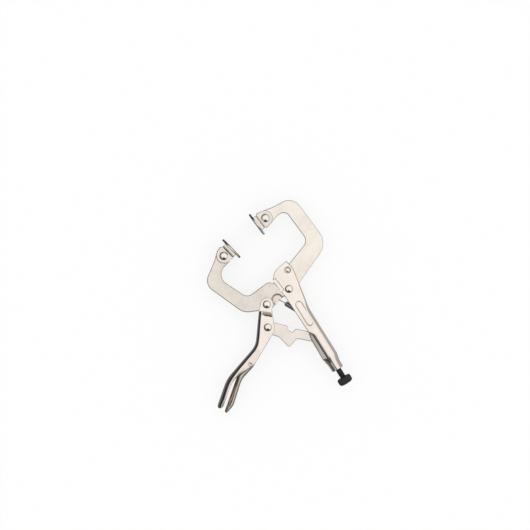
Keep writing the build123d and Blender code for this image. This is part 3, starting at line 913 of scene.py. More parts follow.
class Grain(Enum):
    """How a metal surface was worked."""

    BLASTED = "blasted"
    DRAWN = "drawn"
    TURNED = "turned"


class Wire:
    """An output socket whose operators add maths nodes to its graph."""

    def __init__(self, graph: "Graph", socket: bpy.types.NodeSocket | None) -> None:
        """Keep the socket and the graph it is in."""
        self.graph, self.socket = graph, socket

    def __add__(self, other: "Wire | float") -> "Wire":
        """Sum."""
        return self.graph.maths("ADD", self, other)

    def __sub__(self, other: "Wire | float") -> "Wire":
        """Difference."""
        return self.graph.maths("SUBTRACT", self, other)

    def __rsub__(self, other: "Wire | float") -> "Wire":
        """Difference with the socket taken away."""
        return self.graph.maths("SUBTRACT", other, self)

    def __mul__(self, other: "Wire | float") -> "Wire":
        """Product."""
        return self.graph.maths("MULTIPLY", self, other)

    __radd__ = __add__
    __rmul__ = __mul__

    def band(self, low: float, high: float) -> "Wire":
        """Smooth step from 0 at low to 1 at high."""
        settings = {"interpolation_type": "SMOOTHSTEP"}
        return self.graph.node("ShaderNodeMapRange", settings, {0: self, 1: low, 2: high})


class Graph:
    """The node tree of one material or world."""

    def __init__(self, tree: bpy.types.NodeTree) -> None:
        """Start the tree empty."""
        self.tree = tree
        tree.nodes.clear()

    def node(
        self,
        kind: str,
        settings: dict[str, object] | None = None,
        inputs: dict[str | int, object] | None = None,
        output: str | int = 0,
    ) -> Wire:
        """Add a node.

        Args:
            kind: Type of the node.
            settings: Properties to set on it.
            inputs: Values or wires for its inputs, by name or place.
            output: The output to return.

        Returns:
            The chosen output, or a wire without one for a node that has none.
        """
        made = self.tree.nodes.new(kind)
        for name, value in (settings or {}).items():
            setattr(made, name, value)
        for key, value in (inputs or {}).items():
            if isinstance(value, Wire):
                self.tree.links.new(value.socket, made.inputs[key])
            else:
                made.inputs[key].default_value = value
        return Wire(self, made.outputs[output] if len(made.outputs) else None)

    def maths(self, operation: str, first: Wire | float, second: Wire | float) -> Wire:
        """Add a maths node."""
        return self.node("ShaderNodeMath", {"operation": operation}, {0: first, 1: second})

    def noise(self, place: Wire, scale: float, detail: float = 2.0) -> Wire:
        """Noise from 0 to 1 over a vector."""
        return self.node("ShaderNodeTexNoise", None, {"Vector": place, "Scale": scale, "Detail": detail})

    def mix(self, share: Wire | float, first: object, second: object) -> Wire:
        """Blend two colours."""
        settings = {"data_type": "RGBA", "clamp_factor": True}
        return self.node("ShaderNodeMix", settings, {0: share, 6: first, 7: second}, 2)

    def stretch(self, vector: Wire, scale: Sequence[float]) -> Wire:
        """Scale a vector along each axis."""
        return self.node("ShaderNodeVectorMath", {"operation": "MULTIPLY"}, {0: vector, 1: tuple(scale)})

    def seen(self) -> Wire:
        """Tell what is seen from what only lights.

        Returns:
            1 for rays from the camera and for reflected and refracted ones, otherwise 0.
        """
        path = self.node("ShaderNodeLightPath", None, None, "Is Camera Ray")
        outputs = path.socket.node.outputs
        other = Wire(self, outputs["Is Glossy Ray"]) + Wire(self, outputs["Is Transmission Ray"])
        return (path + other).band(0.0, 0.5)

    def attribute(self, name: str, output: str) -> Wire:
        """Read an attribute of the mesh."""
        return self.node("ShaderNodeAttribute", {"attribute_name": name}, None, output)


def colour(red: float, green: float, blue: float) -> tuple[float, float, float, float]:
    """Linear colour from 8-bit display values.

    Args:
        red: Red, 0 to 255.
        green: Green, 0 to 255.
        blue: Blue, 0 to 255.

    Returns:
        Linear red, green and blue, and full cover.
    """
    share = np.array([red, green, blue]) / 255
    linear = np.where(share <= 0.04045, share / 12.92, ((share + 0.055) / 1.055) ** 2.4)
    return (*map(float, linear), 1.0)


@dataclass(frozen=True)
class Metal:
    """A plated or blackened finish with its worked grain, mottling and bright edges."""

    slot: Slot
    tone: tuple[float, float, float, float]
    dull: tuple[float, float, float, float]
    roughness: float
    grain: Grain
    relief: float
    spread: float = 0.10
    metallic: float = 1.0
    worn: float = 0.5

    def height(self, graph: Graph, place: Wire) -> Wire:
        """Fine surface height for the way the metal was worked.

        Args:
            graph: Tree to add it to.
            place: Object coordinates.

        Returns:
            The height.
        """
        if self.grain is Grain.BLASTED:
            return graph.noise(place, 1500.0, 3.0) * 0.7 + graph.noise(place, 520.0, 2.0) * 0.5
        along = graph.attribute("grain", "Vector")
        scale = (60.0, 2600.0, 1.0) if self.grain is Grain.DRAWN else (3000.0, 8.0, 1.0)
        lines = graph.noise(graph.stretch(along, scale), 1.0, 3.0)
        return lines * 0.8 + graph.noise(place, 700.0, 2.0) * 0.3

    def material(self, name: str) -> bpy.types.Material:
        """Build the material under a name.

        Args:
            name: Name of the material.

        Returns:
            The material.
        """
        made = bpy.data.materials.new(name)
        made.use_nodes = True
        graph = Graph(made.node_tree)
        place = graph.node("ShaderNodeTexCoord", None, None, "Object")
        edge = graph.attribute("edge", "Fac")
        height = self.height(graph, place)
        mottle = graph.noise(place, 38.0, 4.0).band(0.35, 0.7)
        stain = graph.noise(place, 150.0, 5.0).band(0.52, 0.72)
        fleck = graph.noise(place, 900.0, 1.0).band(0.62, 0.70)
        dullness = mottle * 0.22 + stain * 0.12 + fleck * 0.35
        tone = graph.mix(dullness, self.tone, self.dull)
        bright = tuple(min(1.0, 1.04 * value) for value in self.tone[:3]) + (1.0,)
        tone = graph.mix(edge * self.worn * (1.0 - mottle * 0.6), tone, bright)
        roughness = (mottle * 0.5 + stain * 0.3 + height * 0.3 - 0.4) * self.spread + self.roughness
        roughness = roughness - edge * self.worn * 0.05
        normal = graph.node(
            "ShaderNodeBump", None, {"Strength": 0.35, "Distance": self.relief * MM, "Height": height}
        )
        shader = graph.node(
            "ShaderNodeBsdfPrincipled",
            None,
            {"Base Color": tone, "Roughness": roughness, "Metallic": self.metallic, "Normal": normal},
        )
        graph.node("ShaderNodeOutputMaterial", None, {"Surface": shader})
        return made


FINISHES: dict[Finish, Metal] = {
    Finish.BRIGHT: Metal(
        Slot.BRIGHT, colour(250, 240, 229), colour(228, 216, 204), 0.19, Grain.DRAWN, 0.010
    ),
    Finish.POLISHED: Metal(
        Slot.BRIGHT, colour(250, 241, 231), colour(232, 222, 211), 0.09, Grain.TURNED, 0.005, spread=0.05
    ),
    # Painted shade: the lever's bright nickel is made darker in colour in place of the dark reflections it
    # shows.
    Finish.SHADED_BRIGHT: Metal(
        Slot.BRIGHT, colour(204, 193, 183), colour(132, 119, 108), 0.15, Grain.DRAWN, 0.004
    ),
    Finish.SATIN: Metal(
        Slot.SATIN, colour(252, 244, 233), colour(226, 215, 204), 0.32, Grain.BLASTED, 0.035
    ),
    # A darker copy of the satin nickel, for the moving jaw.
    Finish.DARKER_SATIN: Metal(
        Slot.SATIN, colour(243, 234, 224), colour(214, 202, 191), 0.34, Grain.BLASTED, 0.035
    ),
    Finish.PAD: Metal(
        Slot.PAD, colour(240, 232, 224), colour(206, 197, 188), 0.24, Grain.TURNED, 0.02
    ),
    Finish.SPRING: Metal(
        Slot.SPRING, colour(196, 190, 184), colour(140, 134, 128), 0.26, Grain.DRAWN, 0.01
    ),
    Finish.BLACK: Metal(
        Slot.BLACK, colour(34, 34, 35), colour(48, 47, 46), 0.42, Grain.TURNED, 0.03,
        spread=0.16, metallic=0.0, worn=0.25,
    ),
}


@dataclass
class Bench:
    """Where pieces are put in the row frame, dressed, tied to their CAD nodes and logged."""

    origin: np.ndarray
    finishes: dict[Finish, bpy.types.Material]

    def put(
        self, surface: Surface, name: str, finish: Finish, body: str | None, *nodes: str
    ) -> bpy.types.Object:
        """Build a piece.

        Args:
            surface: What the piece is made of.
            name: Name of the piece.
            finish: Its finish.
            body: CAD body that it rides on, or None to leave it on none.
            nodes: CAD nodes that it stands for.

        Returns:
            The object.
        """
        made = surface.build(name, self.origin)
        made.data.materials.append(self.finishes[finish])
        if body is not None:
            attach(made, body)
        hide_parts(*nodes)
        LOG.info("%s: %d faces", name, len(made.data.polygons))
        return made

    def row(self, point: Sequence[float]) -> tuple[float, float, float]:
        """A point of the middle plane, in metres in the row frame."""
        return (point[0] * MM + self.origin[0], point[1] * MM + self.origin[1], 0.0)


@dataclass
class JawPlates:
    """Both jaws: thick plates with rounded edges, the moving one with a coined spring seat."""

    edge_round: float = 1.3
    seat_radius: float = 7.5
    seat_wall: float = 3.2
    web_half: float = 1.0
    hole_radius: float = 1.75
    hub_radius: float = 10.5

    def seat(self, points: np.ndarray) -> np.ndarray:
        """Highest surface allowed by the spring seat: the web inside it, steep at its rim.

        Args:
            points: Points of the middle plane, (n, 2).

        Returns:
            One height for each point.
        """
        away = np.linalg.norm(points - np.array(SPRING_SEAT), axis=-1)
        wall = ease((away - self.seat_radius + 1.5) / self.seat_wall)
        return self.web_half + (JAW_HALF - self.web_half + 0.3) * wall

    def moving(self) -> Surface:
        """Moving jaw: the outline joined with a hub, the seat meshed in rings round its centre.

        Returns:
            Its surface.
        """
        rings = np.array([0.8, 2.0, 3.4, 4.8, 5.6, 5.9, *np.arange(6.1, 9.2, 0.2), 9.6])
        polar = np.concatenate([arc(SPRING_SEAT, radius, 0, 355, 71) for radius in rings])
        surface = Surface()
        Plate(
            chain=with_boss(rounded(MOVING_JAW_OUTLINE, 0.9), (0.0, 0.0), self.hub_radius),
            low=-JAW_HALF, high=JAW_HALF, low_round=self.edge_round, high_round=self.edge_round,
            ceiling=self.seat, lattice=polar, holes=((*SPRING_HOLE, self.hole_radius),),
        ).gather(surface)
        return surface

    def fixed(self) -> Surface:
        """Fixed jaw: its outline with rounded edges.

        Returns:
            Its surface.
        """
        surface = Surface()
        Plate(
            chain=rounded(FIXED_JAW_OUTLINE, 0.9), low=-JAW_HALF, high=JAW_HALF,
            low_round=self.edge_round, high_round=self.edge_round,
        ).gather(surface)
        return surface

    def build(self, bench: Bench) -> None:
        """Put both jaws on the bench."""
        bench.put(self.fixed(), "fixed_jaw_plate", Finish.SATIN, "frame", "fixed_jaw")
        bench.put(self.moving(), "moving_jaw_plate", Finish.DARKER_SATIN, "swing_jaw", "moving_jaw")


@dataclass
class FixedHandle:
    """Folded handle: two cheeks round the jaws, a grip with a pressed ledge and a drawn tube."""

    sheet: float = SHEET
    cheek_bend: float = 2.4
    grip_bend: float = 5.6
    grip_start: float = 20.0
    tube_start: float = 110.0
    stamp_centre: Pair = (-12.7, -9.7)
    stamp_size: Pair = (20.5, 4.8)
    stamp_tilt: float = 6.0
    stamp_depth: float = 0.6
    ledge_start: float = 61.0
    ledge_end: float = 140.0
    ledge_level: float = -4.2
    ledge_slant: float = 1.3
    ledge_slope: float = 0.30
    step_width: float = 4.8
    step_depth: float = 1.5
    panel_centre: Pair = (40.5, 0.6)
    panel_half: Pair = (19.0, 4.6)
    panel_rise: float = 0.5
    crown_rise: float = 0.35
    crown_start: float = 24.0
    fairing: float = 5.0

    def half_width(self, points: np.ndarray) -> np.ndarray:
        """Half width over the cheeks, the grip and the tube, from the place along the screw.

        Args:
            points: Points of the middle plane, (..., 2).

        Returns:
            One half width for each point.
        """
        along = points[..., 0]
        wide = OUTER_HALF + (GRIP_HALF - OUTER_HALF) * ease((along - self.grip_start) / 22)
        return wide + (TUBE_RADIUS - GRIP_HALF) * ease((along - self.tube_start) / 8)

    def stamp(self, points: np.ndarray) -> np.ndarray:
        """Depth of the pressed rectangle on the cheek, with soft sides.

        Args:
            points: Points of the middle plane, (..., 2).

        Returns:
            One height for each point, negative in the rectangle.
        """
        offset = points - np.array(self.stamp_centre)
        turn = math.radians(self.stamp_tilt)
        across, up = math.cos(turn), math.sin(turn)
        local = offset @ np.array([[across, -up], [up, across]])
        past = np.abs(local) - np.array(self.stamp_size) / 2
        return -self.stamp_depth * ease(0.5 - past.max(-1) / 0.7)

    def ledge(self, points: np.ndarray) -> np.ndarray:
        """Height of the ledge along the grip's free edge: a pressed step, then a slope.

        Args:
            points: Points of the middle plane, (..., 2).

        Returns:
            One height for each point, negative on the ledge.
        """
        along, up = points[..., 0], points[..., 1]
        below = self.ledge_level + self.step_width / 2 - up
        fall = self.step_depth * ease(below / self.step_width)
        fall = fall + self.ledge_slope * np.maximum(below - self.step_width * 0.7, 0)
        reach = ease((along - self.ledge_start - self.ledge_slant * (up + 12.0)) / 5.0)
        return -fall * reach * ease((self.ledge_end + 6 - along) / 6)

    def panel(self, points: np.ndarray) -> np.ndarray:
        """Height of the plain stadium-shaped panel's raised rim.

        Args:
            points: Points of the middle plane, (..., 2).

        Returns:
            One height for each point.
        """
        half_length, half_height = self.panel_half
        along, level = self.panel_centre
        start = (along - half_length + half_height, level)
        end = (along + half_length - half_height, level)
        rim = np.abs(to_segment(points, start, end) - half_height)
        return self.panel_rise * ease(1.2 - rim / 0.75)

    def relief(self, points: np.ndarray) -> np.ndarray:
        """Height of the grip's ledge, its low crown and the raised panel together.

        Args:
            points: Points of the middle plane, (..., 2).

        Returns:
            One height for each point.
        """
        bulge = np.clip(1 - ((points[..., 1] + 0.6) / 10) ** 2, 0, 1)
        crown = self.crown_rise * ease((points[..., 0] - self.crown_start) / 24) * bulge
        return self.ledge(points) + crown + self.panel(points)

    def cheek(self, chain: np.ndarray, top: float, bottom: float) -> Plate:
        """One cheek beyond the spine.

        Args:
            chain: Outline of the whole handle.
            top: Height of the seam's upper end.
            bottom: Height of its lower end.

        Returns:
            The cheek as an open plate.
        """
        kept = chain[chain[:, 0] < SPINE_START - 0.3]
        kept = np.concatenate([[(SPINE_START, top)], kept, [(SPINE_START, bottom)]])
        up = -inward(kept, False)[:, 1]
        up[0], up[-1] = 1.0, -1.0
        high_round = 0.8 + (self.cheek_bend - 0.8) * ease((up - 0.2) / 0.5)
        return Plate(
            chain=kept, low=INNER_HALF, high=OUTER_HALF, closed=False,
            low_round=np.minimum(0.5, 0.9 * (self.sheet - high_round)), high_round=high_round,
            relief=self.stamp, lattice=lattice((-25.0, -13.6), (0.6, -5.6), 0.42),
            holes=((*JAW_ANCHOR, 5.0),),
        )

    def surface(self) -> Surface:
        """Whole handle: two cheeks, and a folded sheet drawn to the tube, both on one outline.

        Returns:
            Its surface.
        """
        chain = rounded(FIXED_HANDLE_OUTLINE, 0.8)
        start = int(np.argmin(np.linalg.norm(chain - np.array([TUBE_END, TUBE_TOP]), axis=1)))
        chain = np.roll(chain, -start, axis=0)
        nose = int(np.argmin(chain[:, 0]))
        upper, lower = chain[: nose + 1][::-1], chain[nose:]
        along = np.concatenate([
            np.arange(SPINE_START, 18, 1.5), np.arange(18, 62, 0.4), np.arange(62, 73, 0.5),
            np.arange(73, 106, 1.3), np.arange(106, TUBE_END - 0.3, 0.6), [TUBE_END],
        ])
        before_end = np.minimum(along, along[-1] - 0.1)
        top, bottom = (
            np.interp(along, *faired(np.stack([along, np.interp(before_end, *side.T)], 1), self.fairing).T)
            for side in (upper, lower)
        )
        surface = Surface()
        self.cheek(chain, float(top[0]), float(bottom[0])).gather(surface)
        surface.mirror()
        DrawnTube(
            spine=np.stack([along, top], 1), free=np.stack([along, bottom], 1),
            half_width=self.half_width, relief=self.relief, wall_steps=64,
            bend=self.cheek_bend + (self.grip_bend - self.cheek_bend) * ease((along - self.grip_start) / 25),
            sheet=self.sheet, base=self.sheet, closing=ease((along - self.tube_start) / 11),
            squareness=1.25, seam_above=(INNER_HALF - 1.0, 1e3),
        ).gather(surface)
        return surface

    def build(self, bench: Bench) -> None:
        """Put the handle on the bench."""
        bench.put(self.surface(), "fixed_handle_sheet", Finish.BRIGHT, "frame", "fixed_handle")


@dataclass
class MovingHandle:
    """Folded handle on the moving jaw: two ears, a panel pressed in at the link, and a grip."""

    ear_radius: float = 9.2
    ear_start: Pair = (4.4, -53.0)
    ear_end: Pair = (11.9, -35.8)
    tip: Pair = (91.45, -172.65)
    angle: float = -60.0
    grip_start: float = 42.0
    tip_start: float = 136.0
    tip_fall: float = 3.1
    ramp_line: tuple[Pair, Pair] = ((22.4, -39.0), (13.0, -50.1))
    ramp_length: float = 6.5
    side_line: tuple[Pair, Pair] = ((12.5, -50.8), (33.0, -66.5))
    foot_line: tuple[Pair, Pair] = ((33.0, -66.5), (54.0, -66.0))
    fairing: float = 13.0

    def half_width(self, points: np.ndarray) -> np.ndarray:
        """Half width from the distance along the handle's axis: wide at the grip, less at its tip.

        Args:
            points: Points of the middle plane, (..., 2).

        Returns:
            One half width for each point.
        """
        along = (points - np.array(HANDLE_PIVOT)) @ towards(self.angle)
        wide = OUTER_HALF + (GRIP_HALF - OUTER_HALF) * ease((along - self.grip_start) / 22)
        return wide - self.tip_fall * ease((along - self.tip_start) / 38)

    def relief(self, points: np.ndarray) -> np.ndarray:
        """Drop of the panel round the link's rivet: a ramp from the ear, soft steps elsewhere.

        Args:
            points: Points of the middle plane, (..., 2).

        Returns:
            One height for each point, negative on the panel.
        """
        past = past_line(points, *self.ramp_line)
        near = np.clip(1 + past / self.ramp_length, 0, 1)
        ramp = 0.74 * near**1.1 + 0.26 * near**8
        side = ease(past_line(points, *self.side_line) / 4.4 + 0.5)
        foot = ease(past_line(points, *self.foot_line) / 6.0 + 0.5)
        panel = np.minimum(side, foot)
        return -PANEL_DROP * ramp * (panel + (1 - panel) * ease(0.5 - past / 3.0))

    def surface(self) -> Surface:
        """Whole handle: two ears, and a folded sheet whose bend widens towards the grip.

        Returns:
            Its surface.
        """
        chain = with_boss(rounded(MOVING_HANDLE_OUTLINE, 0.8), HANDLE_PIVOT, self.ear_radius)
        spine = faired(between(chain, self.ear_start, self.tip), self.fairing)
        free = faired(between(chain, self.tip, self.ear_end)[::-1], self.fairing)
        keys = (
            (spine[0], free[0]), ((22.0, -66.3), (38.0, -47.6)), ((40.0, -80.3), (53.0, -75.0)),
            ((46.6, -94.0), (63.8, -95.6)), ((53.2, -115.0), (65.3, -112.0)),
            ((60.2, -137.0), (67.0, -135.4)), ((74.0, -157.6), (79.4, -150.8)),
            ((86.0, -172.6), (90.9, -165.2)), ((90.4, -174.9), (92.3, -170.8)),
        )
        left, right = paired(spine, free, keys, 0.75)
        length = np.linalg.norm(right - left, axis=1)
        surface = Surface()
        Plate(
            chain=between(chain, self.ear_end, self.ear_start), low=INNER_HALF, high=OUTER_HALF,
            low_round=0.5, high_round=0.8, closed=False,
        ).gather(surface)
        surface.mirror()
        place = np.linspace(0, 1, len(left))
        bend = 4.6 + 1.0 * ease((place - 0.08) / 0.25) + 2.2 * ease((place - 0.56) / 0.25)
        bend = np.minimum(np.minimum(bend, 0.85 * length), self.half_width(left) - 0.3)
        FoldedSheet(
            spine=left, free=right, half_width=self.half_width, relief=self.relief,
            bend=bend, wall_steps=34, crown=0.5 * ease((place - 0.5) / 0.35), squareness=1.35,
            seam_above=(INNER_HALF - 1.0, 1e3),
        ).gather(surface)
        return surface

    def build(self, bench: Bench) -> None:
        """Put the handle on the bench."""
        bench.put(self.surface(), "moving_handle_sheet", Finish.BRIGHT, "swing_handle", "moving_handle")


@dataclass
class ReleaseLever:
    """Release lever: a narrow half-round channel inside the moving handle."""

    half: float = 4.8
    thumb_half: float = 5.9
    thumb_start: float = 34.0
    sheet: float = 1.4
    bend: float = 3.4
    angle: float = -60.0
    top: Pair = (54.6, -85.0)
    tip: Pair = (101.0, -169.7)
    fairing: float = 5.0

    def half_width(self, points: np.ndarray) -> np.ndarray:
        """Half width: more beyond the handle's free edges, where the thumb presses."""
        along = (points - np.array(LEVER_PIVOT)) @ towards(self.angle)
        return self.half + (self.thumb_half - self.half) * ease((along - self.thumb_start) / 16)

    def surface(self) -> Surface:
        """Lever: a thin folded sheet whose walls fall off in a crown, more at its thumb end.

        Returns:
            Its surface.
        """
        chain = rounded(LEVER_OUTLINE, 0.7)
        spine = faired(between(chain, self.tip, self.top)[::-1], self.fairing)
        free = faired(between(chain, self.top, self.tip), self.fairing)
        keys = (
            ((56.4, -86.0), (52.6, -86.4)), ((61.6, -92.4), (54.6, -94.0)),
            ((66.0, -100.0), (57.0, -104.0)), ((71.0, -116.0), (61.0, -117.0)),
            ((77.0, -128.8), (69.0, -131.4)), ((92.0, -146.4), (83.6, -149.9)),
            ((99.9, -158.0), (92.6, -161.3)), ((102.3, -168.0), (98.4, -168.2)),
        )
        outer, inner = paired(spine, free, keys, 0.8)
        length = np.linalg.norm(outer - inner, axis=1)
        place = np.linspace(0, 1, len(outer))
        surface = Surface()
        FoldedSheet(
            spine=outer, free=inner, half_width=self.half_width,
            bend=np.minimum(self.bend, 0.4 * length), sheet=self.sheet, base=self.sheet * 0.9,
            wall_steps=16, edge_round=0.6, end_round=0.5, squareness=1.1,
            crown=1.6 + 2.0 * ease((place - 0.35) / 0.25), crown_power=1.15,
        ).gather(surface)
        return surface

    def build(self, bench: Bench) -> None:
        """Put the lever on the bench."""
        # The lever's nickel is painted darker, as shade from its reflections.
        bench.put(self.surface(), "release_lever_shell", Finish.SHADED_BRIGHT, "lever", "release_lever")


@dataclass
class ToggleLink:
    """Flat link from the moving handle to the screw's tip."""

    eye_radius: float = 9.3
    end_radius: float = 5.5
    edge_round: float = 0.9

    def surface(self) -> Surface:
        """Link: its outline joined with the bosses of both ends.

        Returns:
            Its surface.
        """
        chain = with_boss(rounded(LINK_OUTLINE, 0.8), LINK_PIVOT, self.eye_radius)
        surface = Surface()
        Plate(
            chain=with_boss(chain, LINK_END, self.end_radius), low=-LINK_HALF, high=LINK_HALF,
            low_round=self.edge_round, high_round=self.edge_round,
        ).gather(surface)
        return surface

    def build(self, bench: Bench) -> None:
        """Put the link on the bench."""
        bench.put(self.surface(), "toggle_link_plate", Finish.SATIN, "link", "toggle_link")


@dataclass
class Rivets:
    """Domed rivets on the pivots, the flush ringed rivet and the plain pins."""

    head_height: float = 2.4
    lip: float = 0.6
    pivot_radii: Pair = (4.0, 5.7)
    pad_radii: Pair = (3.5, 6.0)

    def dome(self, centre: Sequence[float], shank: float, head: float, base: float) -> Surface:
        """Rivet with a domed head on each side.

        The dome is a spherical cap of height h over radius r: sphere radius (r r + h h) / 2 h.

        Args:
            centre: Place of its axis.
            shank: Radius of its shank.
            head: Radius of its heads.
            base: Height of the heads' undersides.

        Returns:
            Its surface.
        """
        rise = self.head_height - self.lip
        radius = (head**2 + rise**2) / (2 * rise)
        slope = math.degrees(math.asin(head / radius))
        top = base + self.head_height
        cap = arc((top - radius, 0.0), radius, 0.0, slope, 16)
        side = np.concatenate([cap, [(base, head), (base, shank)]])
        profile = np.concatenate([side * np.array([-1, 1]), side[::-1]])
        surface = Surface()
        Turning((*centre, 0.0), (0, 0, 1), guarded(profile)).gather(surface)
        return surface

    def pin(self, centre: Sequence[float], half: np.ndarray) -> Surface:
        """Pin whose half profile is mirrored to its other end.

        Args:
            centre: Place of its axis.
            half: Half profile as (height, radius), from its rim to its middle.

        Returns:
            Its surface.
        """
        profile = np.concatenate([half[::-1] * np.array([-1, 1]), half])
        surface = Surface()
        Turning((*centre, 0.0), (0, 0, 1), guarded(profile, 0.1)).gather(surface)
        return surface

    def build(self, bench: Bench) -> None:
        """Put all rivets and pins on the bench.

        Args:
            bench: Where they go.
        """
        pad_base = INNER_HALF + SwivelPads.sheet + 0.05
        panel = OUTER_HALF - PANEL_DROP
        domes = (
            ("jaw_pivot_rivet", "frame", (0.0, 0.0), self.pivot_radii, OUTER_HALF),
            ("handle_pivot_rivet", "swing_handle", HANDLE_PIVOT, self.pivot_radii, OUTER_HALF),
            ("link_pivot_rivet", "swing_handle", LINK_PIVOT, self.pivot_radii, panel),
            ("fixed_pad_rivet", "frame", FIXED_PAD_RIVET, self.pad_radii, pad_base),
            ("moving_pad_rivet", "swing_jaw", MOVING_PAD_RIVET, self.pad_radii, pad_base),
        )
        for node, body, centre, radii, base in domes:
            bench.put(self.dome(centre, *radii, base), f"{node}_dome", Finish.POLISHED, body, node)
        ringed = np.array([
            (OUTER_HALF - 0.3, 5.0), (OUTER_HALF, 4.85), (OUTER_HALF, 4.6), (OUTER_HALF - 0.35, 4.1),
            (OUTER_HALF - 0.75, 3.5), (OUTER_HALF - 0.8, 3.2), (OUTER_HALF - 0.7, 2.9),
            (OUTER_HALF - 0.2, 2.3), (OUTER_HALF + 0.05, 1.7), (OUTER_HALF + 0.15, 1.0),
            (OUTER_HALF + 0.2, 0.0),
        ])
        headed = np.array([
            (GRIP_HALF, 2.6), (GRIP_HALF, 3.4), (GRIP_HALF + 0.5, 3.35), (GRIP_HALF + 0.95, 2.9),
            (GRIP_HALF + 1.05, 2.3), (GRIP_HALF + 0.8, 1.6), (GRIP_HALF + 0.4, 0.9),
            (GRIP_HALF + 0.35, 0.0),
        ])
        plain = np.array([(5.7, 1.5), (6.0, 1.2), (6.0, 0.0)])
        pins = (
            ("jaw_anchor_ring", "jaw_anchor_rivet", "frame", JAW_ANCHOR, ringed, Finish.BRIGHT),
            ("lever_pin", "lever_pivot_pin", "swing_handle", LEVER_PIVOT, headed, Finish.BRIGHT),
            ("anchor_pin", "spring_anchor_pin", "frame", SPRING_ANCHOR, plain, Finish.SPRING),
        )
        for name, node, body, centre, half, finish in pins:
            bench.put(self.pin(centre, half), name, finish, body, node)


@dataclass
class SwivelPads:
    """Round clamping pads, each on a block and a bracket folded round the jaw's tip."""

    reach: float = 16.5
    back: float = 13.5
    fold: float = 10.5
    floor: float = 9.4
    block_half: float = 6.4
    radius: float = 17.8
    half_width: float = 10.5
    sheet: float = 2.6
    bend: float = 4.8
    rims: Pair = (0.8, 1.5)
    facings: Pair = (4.4 - 90, 12.1 + 90)

    def bracket(self, rivet: Sequence[float], facing: float) -> Surface:
        """Bracket: a channel whose run goes across the jaw, with a block between it and the disc.

        The channel's walls end in a circle round the rivet.

        Args:
            rivet: Place of the pad's rivet.
            facing: Angle in degrees of the way that the pad faces.

        Returns:
            Its surface.
        """
        out, side = towards(facing), towards(facing + 90)
        turn = np.radians(np.linspace(-86, 86, 41))
        across = self.half_width * np.sin(turn)
        base = np.array(rivet) + across[:, None] * side
        surface = Surface()
        FoldedSheet(
            spine=base + self.fold * out, free=base - (self.half_width * np.cos(turn))[:, None] * out,
            half_width=lambda points: np.full(points.shape[:-1], INNER_HALF + self.sheet),
            bend=np.full(len(turn), self.bend), sheet=self.sheet, base=self.fold - self.floor,
            wall_steps=20, edge_round=1.1, end_round=0.4, inner_corner=0.2,
        ).gather(surface)
        start, end = self.fold - 0.6, self.back + 0.2
        ways = ((start, -1), (end, -1), (end, 1), (start, 1))
        block = [np.array(rivet) + (way * out + sign * self.half_width * side) for way, sign in ways]
        Plate(
            chain=rounded([(*corner, 0.3) for corner in block]),
            low=-self.block_half, high=self.block_half, low_round=0.5, high_round=0.5,
        ).gather(surface)
        return surface

    def disc(self, rivet: Sequence[float], facing: float) -> Surface:
        """Disc with rounded rims, the clamping one rounder, turned about the line through the rivet.

        Args:
            rivet: Place of the pad's rivet.
            facing: Angle in degrees of the way that the pad faces.

        Returns:
            Its surface.
        """
        back_rim, front_rim = self.rims
        profile = np.concatenate([
            [(self.back, 0.0)],
            arc((self.back + back_rim, self.radius - back_rim), back_rim, 180, 90),
            arc((self.reach - front_rim, self.radius - front_rim), front_rim, 90, 0),
            [(self.reach, 0.0)],
        ])
        surface = Surface()
        Turning((*rivet, 0.0), (*towards(facing), 0.0), guarded(profile), 96).gather(surface)
        return surface

    def build(self, bench: Bench) -> None:
        """Put both pads on the bench.

        Args:
            bench: Where they go.
        """
        pads = zip(("fixed", "moving"), (FIXED_PAD_RIVET, MOVING_PAD_RIVET), self.facings)
        for jaw, rivet, facing in pads:
            body = f"{jaw}_pad"
            bench.put(self.bracket(rivet, facing), f"{body}_clip", Finish.PAD, body, f"{body}_bracket")
            bench.put(self.disc(rivet, facing), f"{body}_plate", Finish.PAD, body, f"{body}_disc")


